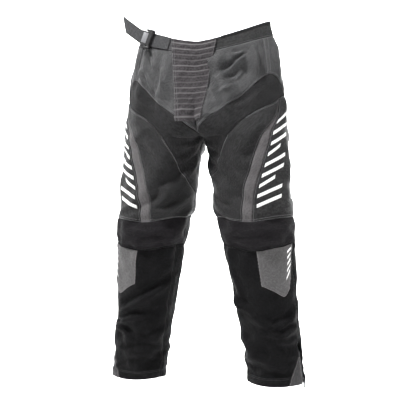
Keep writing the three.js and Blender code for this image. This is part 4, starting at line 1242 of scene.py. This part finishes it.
beltPiece = newPiece("belt_webbing", layGrid(90, 18, placeBelt), mats["belt"])
giveWall(beltPiece, beltSize["wall"], 0)
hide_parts("belt_strap")
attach(beltPiece, "belt")


def buckleBlock(name, sizes, place, lean, rounding, finish, body):
    # sizes and place are in mm in the webbing's own frame; lean turns the block's front up, in radians
    x = beltX * math.cos(lean) + beltZ * math.sin(lean)
    z = beltZ * math.cos(lean) - beltX * math.sin(lean)
    bm = bmesh.new()
    blockAt(bm, beltPoint(*place)[0], (x, beltY, z), [size / 1000 for size in sizes])
    bmesh.ops.bevel(bm, geom=bm.edges, offset=rounding, affect="EDGES", segments=3, profile=0.5, material=-1)
    bmesh.ops.recalc_face_normals(bm, faces=bm.faces)
    piece = newPiece(name, bm, mats[finish])
    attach(piece, body)


# the housing's two raised ends, above and below the webbing, and a paler plate let into the lever's face
cheekSize = {"sizes": (27, 5.4, 12), "along": 53, "across": 26.0, "rise": 6.8, "rounding": 0.0012}
plateSize = {"sizes": (15.5, 31, 0.9), "along": 59.5, "rise": 17.2, "lean": 0.3, "rounding": 0.0004}
for sign, label in ((-1, "upper"), (1, "lower")):
    place = (cheekSize["along"], sign * cheekSize["across"], cheekSize["rise"])
    buckleBlock("buckle_cheek_" + label, cheekSize["sizes"], place, 0.0, cheekSize["rounding"], "plastic",
                "seat")
buckleBlock("lever_plate", plateSize["sizes"], (plateSize["along"], 0.0, plateSize["rise"]), plateSize["lean"],
            plateSize["rounding"], "plate", "lever")

# finishes of the pieces that stay as the frame has them
keptFinishes = {
    "plastic": ("buckle_frame", "buckle_lever"), "steel": ("buckle_pin", "buckle_bail", "snap_stud"),
    "darkSteel": ("snap_socket", "fly_zip_stop", "fly_zip_slider", "fly_zip_pull", "ankle_slider_left",
                  "ankle_slider_right", "ankle_pull_left", "ankle_pull_right"),
}
for finish, names in keptFinishes.items():
    for name in names:
        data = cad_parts[name].data
        data.materials.clear()
        data.materials.append(mats[finish])

# plain pale shapes printed on the thighs and shins: how many, the first one's place down the panel, their
# spacing, height and slant as shares of it, and where they start and end across it; every third bar is short
thighBars = {"count": 9, "first": 0.16, "step": 0.083, "tall": 0.030, "slant": -0.05, "near": 0.05, "far": 0.38,
             "shortFar": 0.25}
shinTicks = {"count": 5, "first": 0.10, "step": 0.13, "tall": 0.05, "slant": -0.05, "near": 0.80, "far": 0.95}
printSize = {"off": 0.28, "wall": 0.00025}


def printShapes(name, size, spec, zone, side):
    for k in range(size["count"]):
        top = size["first"] + k * size["step"]
        far = size["shortFar"] if "shortFar" in size and k % 3 == 0 else size["far"]

        def place(s, t):
            down = mix(top, top + size["tall"], t) + size["slant"] * (s - 0.5)
            p = panelPoints(spec, mix(size["near"], far, s), down, printSize["off"])[0]
            return p, np.stack([s * 0.05, t * 0.05], -1), np.zeros_like(s)

        piece = gridPiece(name % k, 18, 12, place, mats["print"], side < 0, printSize["wall"])
        bend(piece, zone, side)


for side, label in halves:
    printShapes("thigh_bar_%d_" + label, thighBars, specs["thighSide", side], "hip", side)
    printShapes("shin_tick_%d_" + label, shinTicks, specs["patch", side], "shin", side)
print("prints made")

for name, (piece, (wide, long), area, above) in sheets.items():
    if above not in sheets:
        above += "_" + name.rsplit("_", 1)[1]
    wide *= max(1.0, 1.001 * area / (wide * long))  # the cut's box is never smaller than the cut

# the camera's angles in degrees, distance and aim in metres, and lens in mm
view = {"azimuth": 20, "elevation": -1.5, "distance": 3.0, "lens": 93, "aim": (-0.0145, -0.507)}
# the floor runs from near to far at the level, and curves up behind from curveFrom on
floorSize = {"half": 8, "near": -7, "far": 6, "level": -1.13, "rise": 5.5, "flatTo": 0.75, "curveFrom": 0.68}
bm = bmesh.new()
bmesh.ops.create_grid(bm, x_segments=1, y_segments=24, size=1)
for v in bm.verts:
    t = (v.co.y + 1) / 2
    curve = max(0, (t - floorSize["curveFrom"]) / (1 - floorSize["curveFrom"])) ** 2
    y = mix(floorSize["near"], floorSize["far"], min(t / floorSize["flatTo"], 1))
    v.co = Vector((v.co.x * floorSize["half"], y, floorSize["level"] + floorSize["rise"] * curve))
floorMat, tree, node = nodesOf("paleFloor")
cloudy = noiseAt(tree, makeNode(tree, "ShaderNodeTexCoord").outputs["Object"], 3.0)
pale = blendColor(tree, cloudy, (0.93, 0.93, 0.93, 1), (0.95, 0.95, 0.95, 1))
tree.links.new(pale, node.inputs["Base Color"])
node.inputs["Roughness"].default_value = 0.9
floor = newPiece("floor", bm, floorMat)


def areaLight(name, place, aim, size, power):
    data = bpy.data.lights.new(name, "AREA")
    data.energy, data.size = power, size
    light = bpy.data.objects.new(name, data)
    bpy.context.scene.collection.objects.link(light)
    light.location = place
    light.rotation_euler = (Vector(aim) - Vector(place)).to_track_quat("-Z", "Y").to_euler()


# each light's place, aim, size in metres and power in watts
lights = {
    "key": ((-1.0, -1.15, 2.3), (0, 0, -0.55), 0.45, 205), "fill": ((2.4, -2.2, 0.0), (0, 0, -0.6), 1.2, 30),
    "rimLeft": ((-2.3, 0.7, 0.3), (0, 0, -0.5), 0.9, 26), "rimRight": ((2.3, 0.9, 0.5), (0, 0, -0.5), 0.9, 36),
    "washLeft": ((-1.3, 3.6, 1.9), (-1.0, 5.8, -0.5), 2.4, 420),
    "washRight": ((1.3, 3.6, 1.9), (1.0, 5.8, -0.5), 2.4, 420),
    "washFloor": ((0, 2.0, 2.0), (0, 3.2, -1.1), 2.6, 260),
}
for name, settings in lights.items():
    areaLight(name, *settings)
bpy.context.scene.view_settings.view_transform = "Standard"
world = bpy.data.worlds.new("studio")
bpy.context.scene.world = world
world.use_nodes = True
world.node_tree.nodes["Background"].inputs[0].default_value = (1, 1, 1, 1)
world.node_tree.nodes["Background"].inputs[1].default_value = 0.16

a, e = math.radians(view["azimuth"]), math.radians(view["elevation"])
right = Vector((math.cos(a), math.sin(a), 0))
aim = Vector((0, 0, view["aim"][1])) + right * view["aim"][0]
eye = aim + view["distance"] * Vector((math.sin(a) * math.cos(e), -math.cos(a) * math.cos(e), math.sin(e)))
lens = bpy.data.cameras.new("camera")
lens.lens = view["lens"]
camera = bpy.data.objects.new("camera", lens)
bpy.context.scene.collection.objects.link(camera)
camera.location = eye
camera.rotation_euler = (aim - eye).to_track_quat("-Z", "Y").to_euler()
bpy.context.scene.camera = camera
print("stage set")
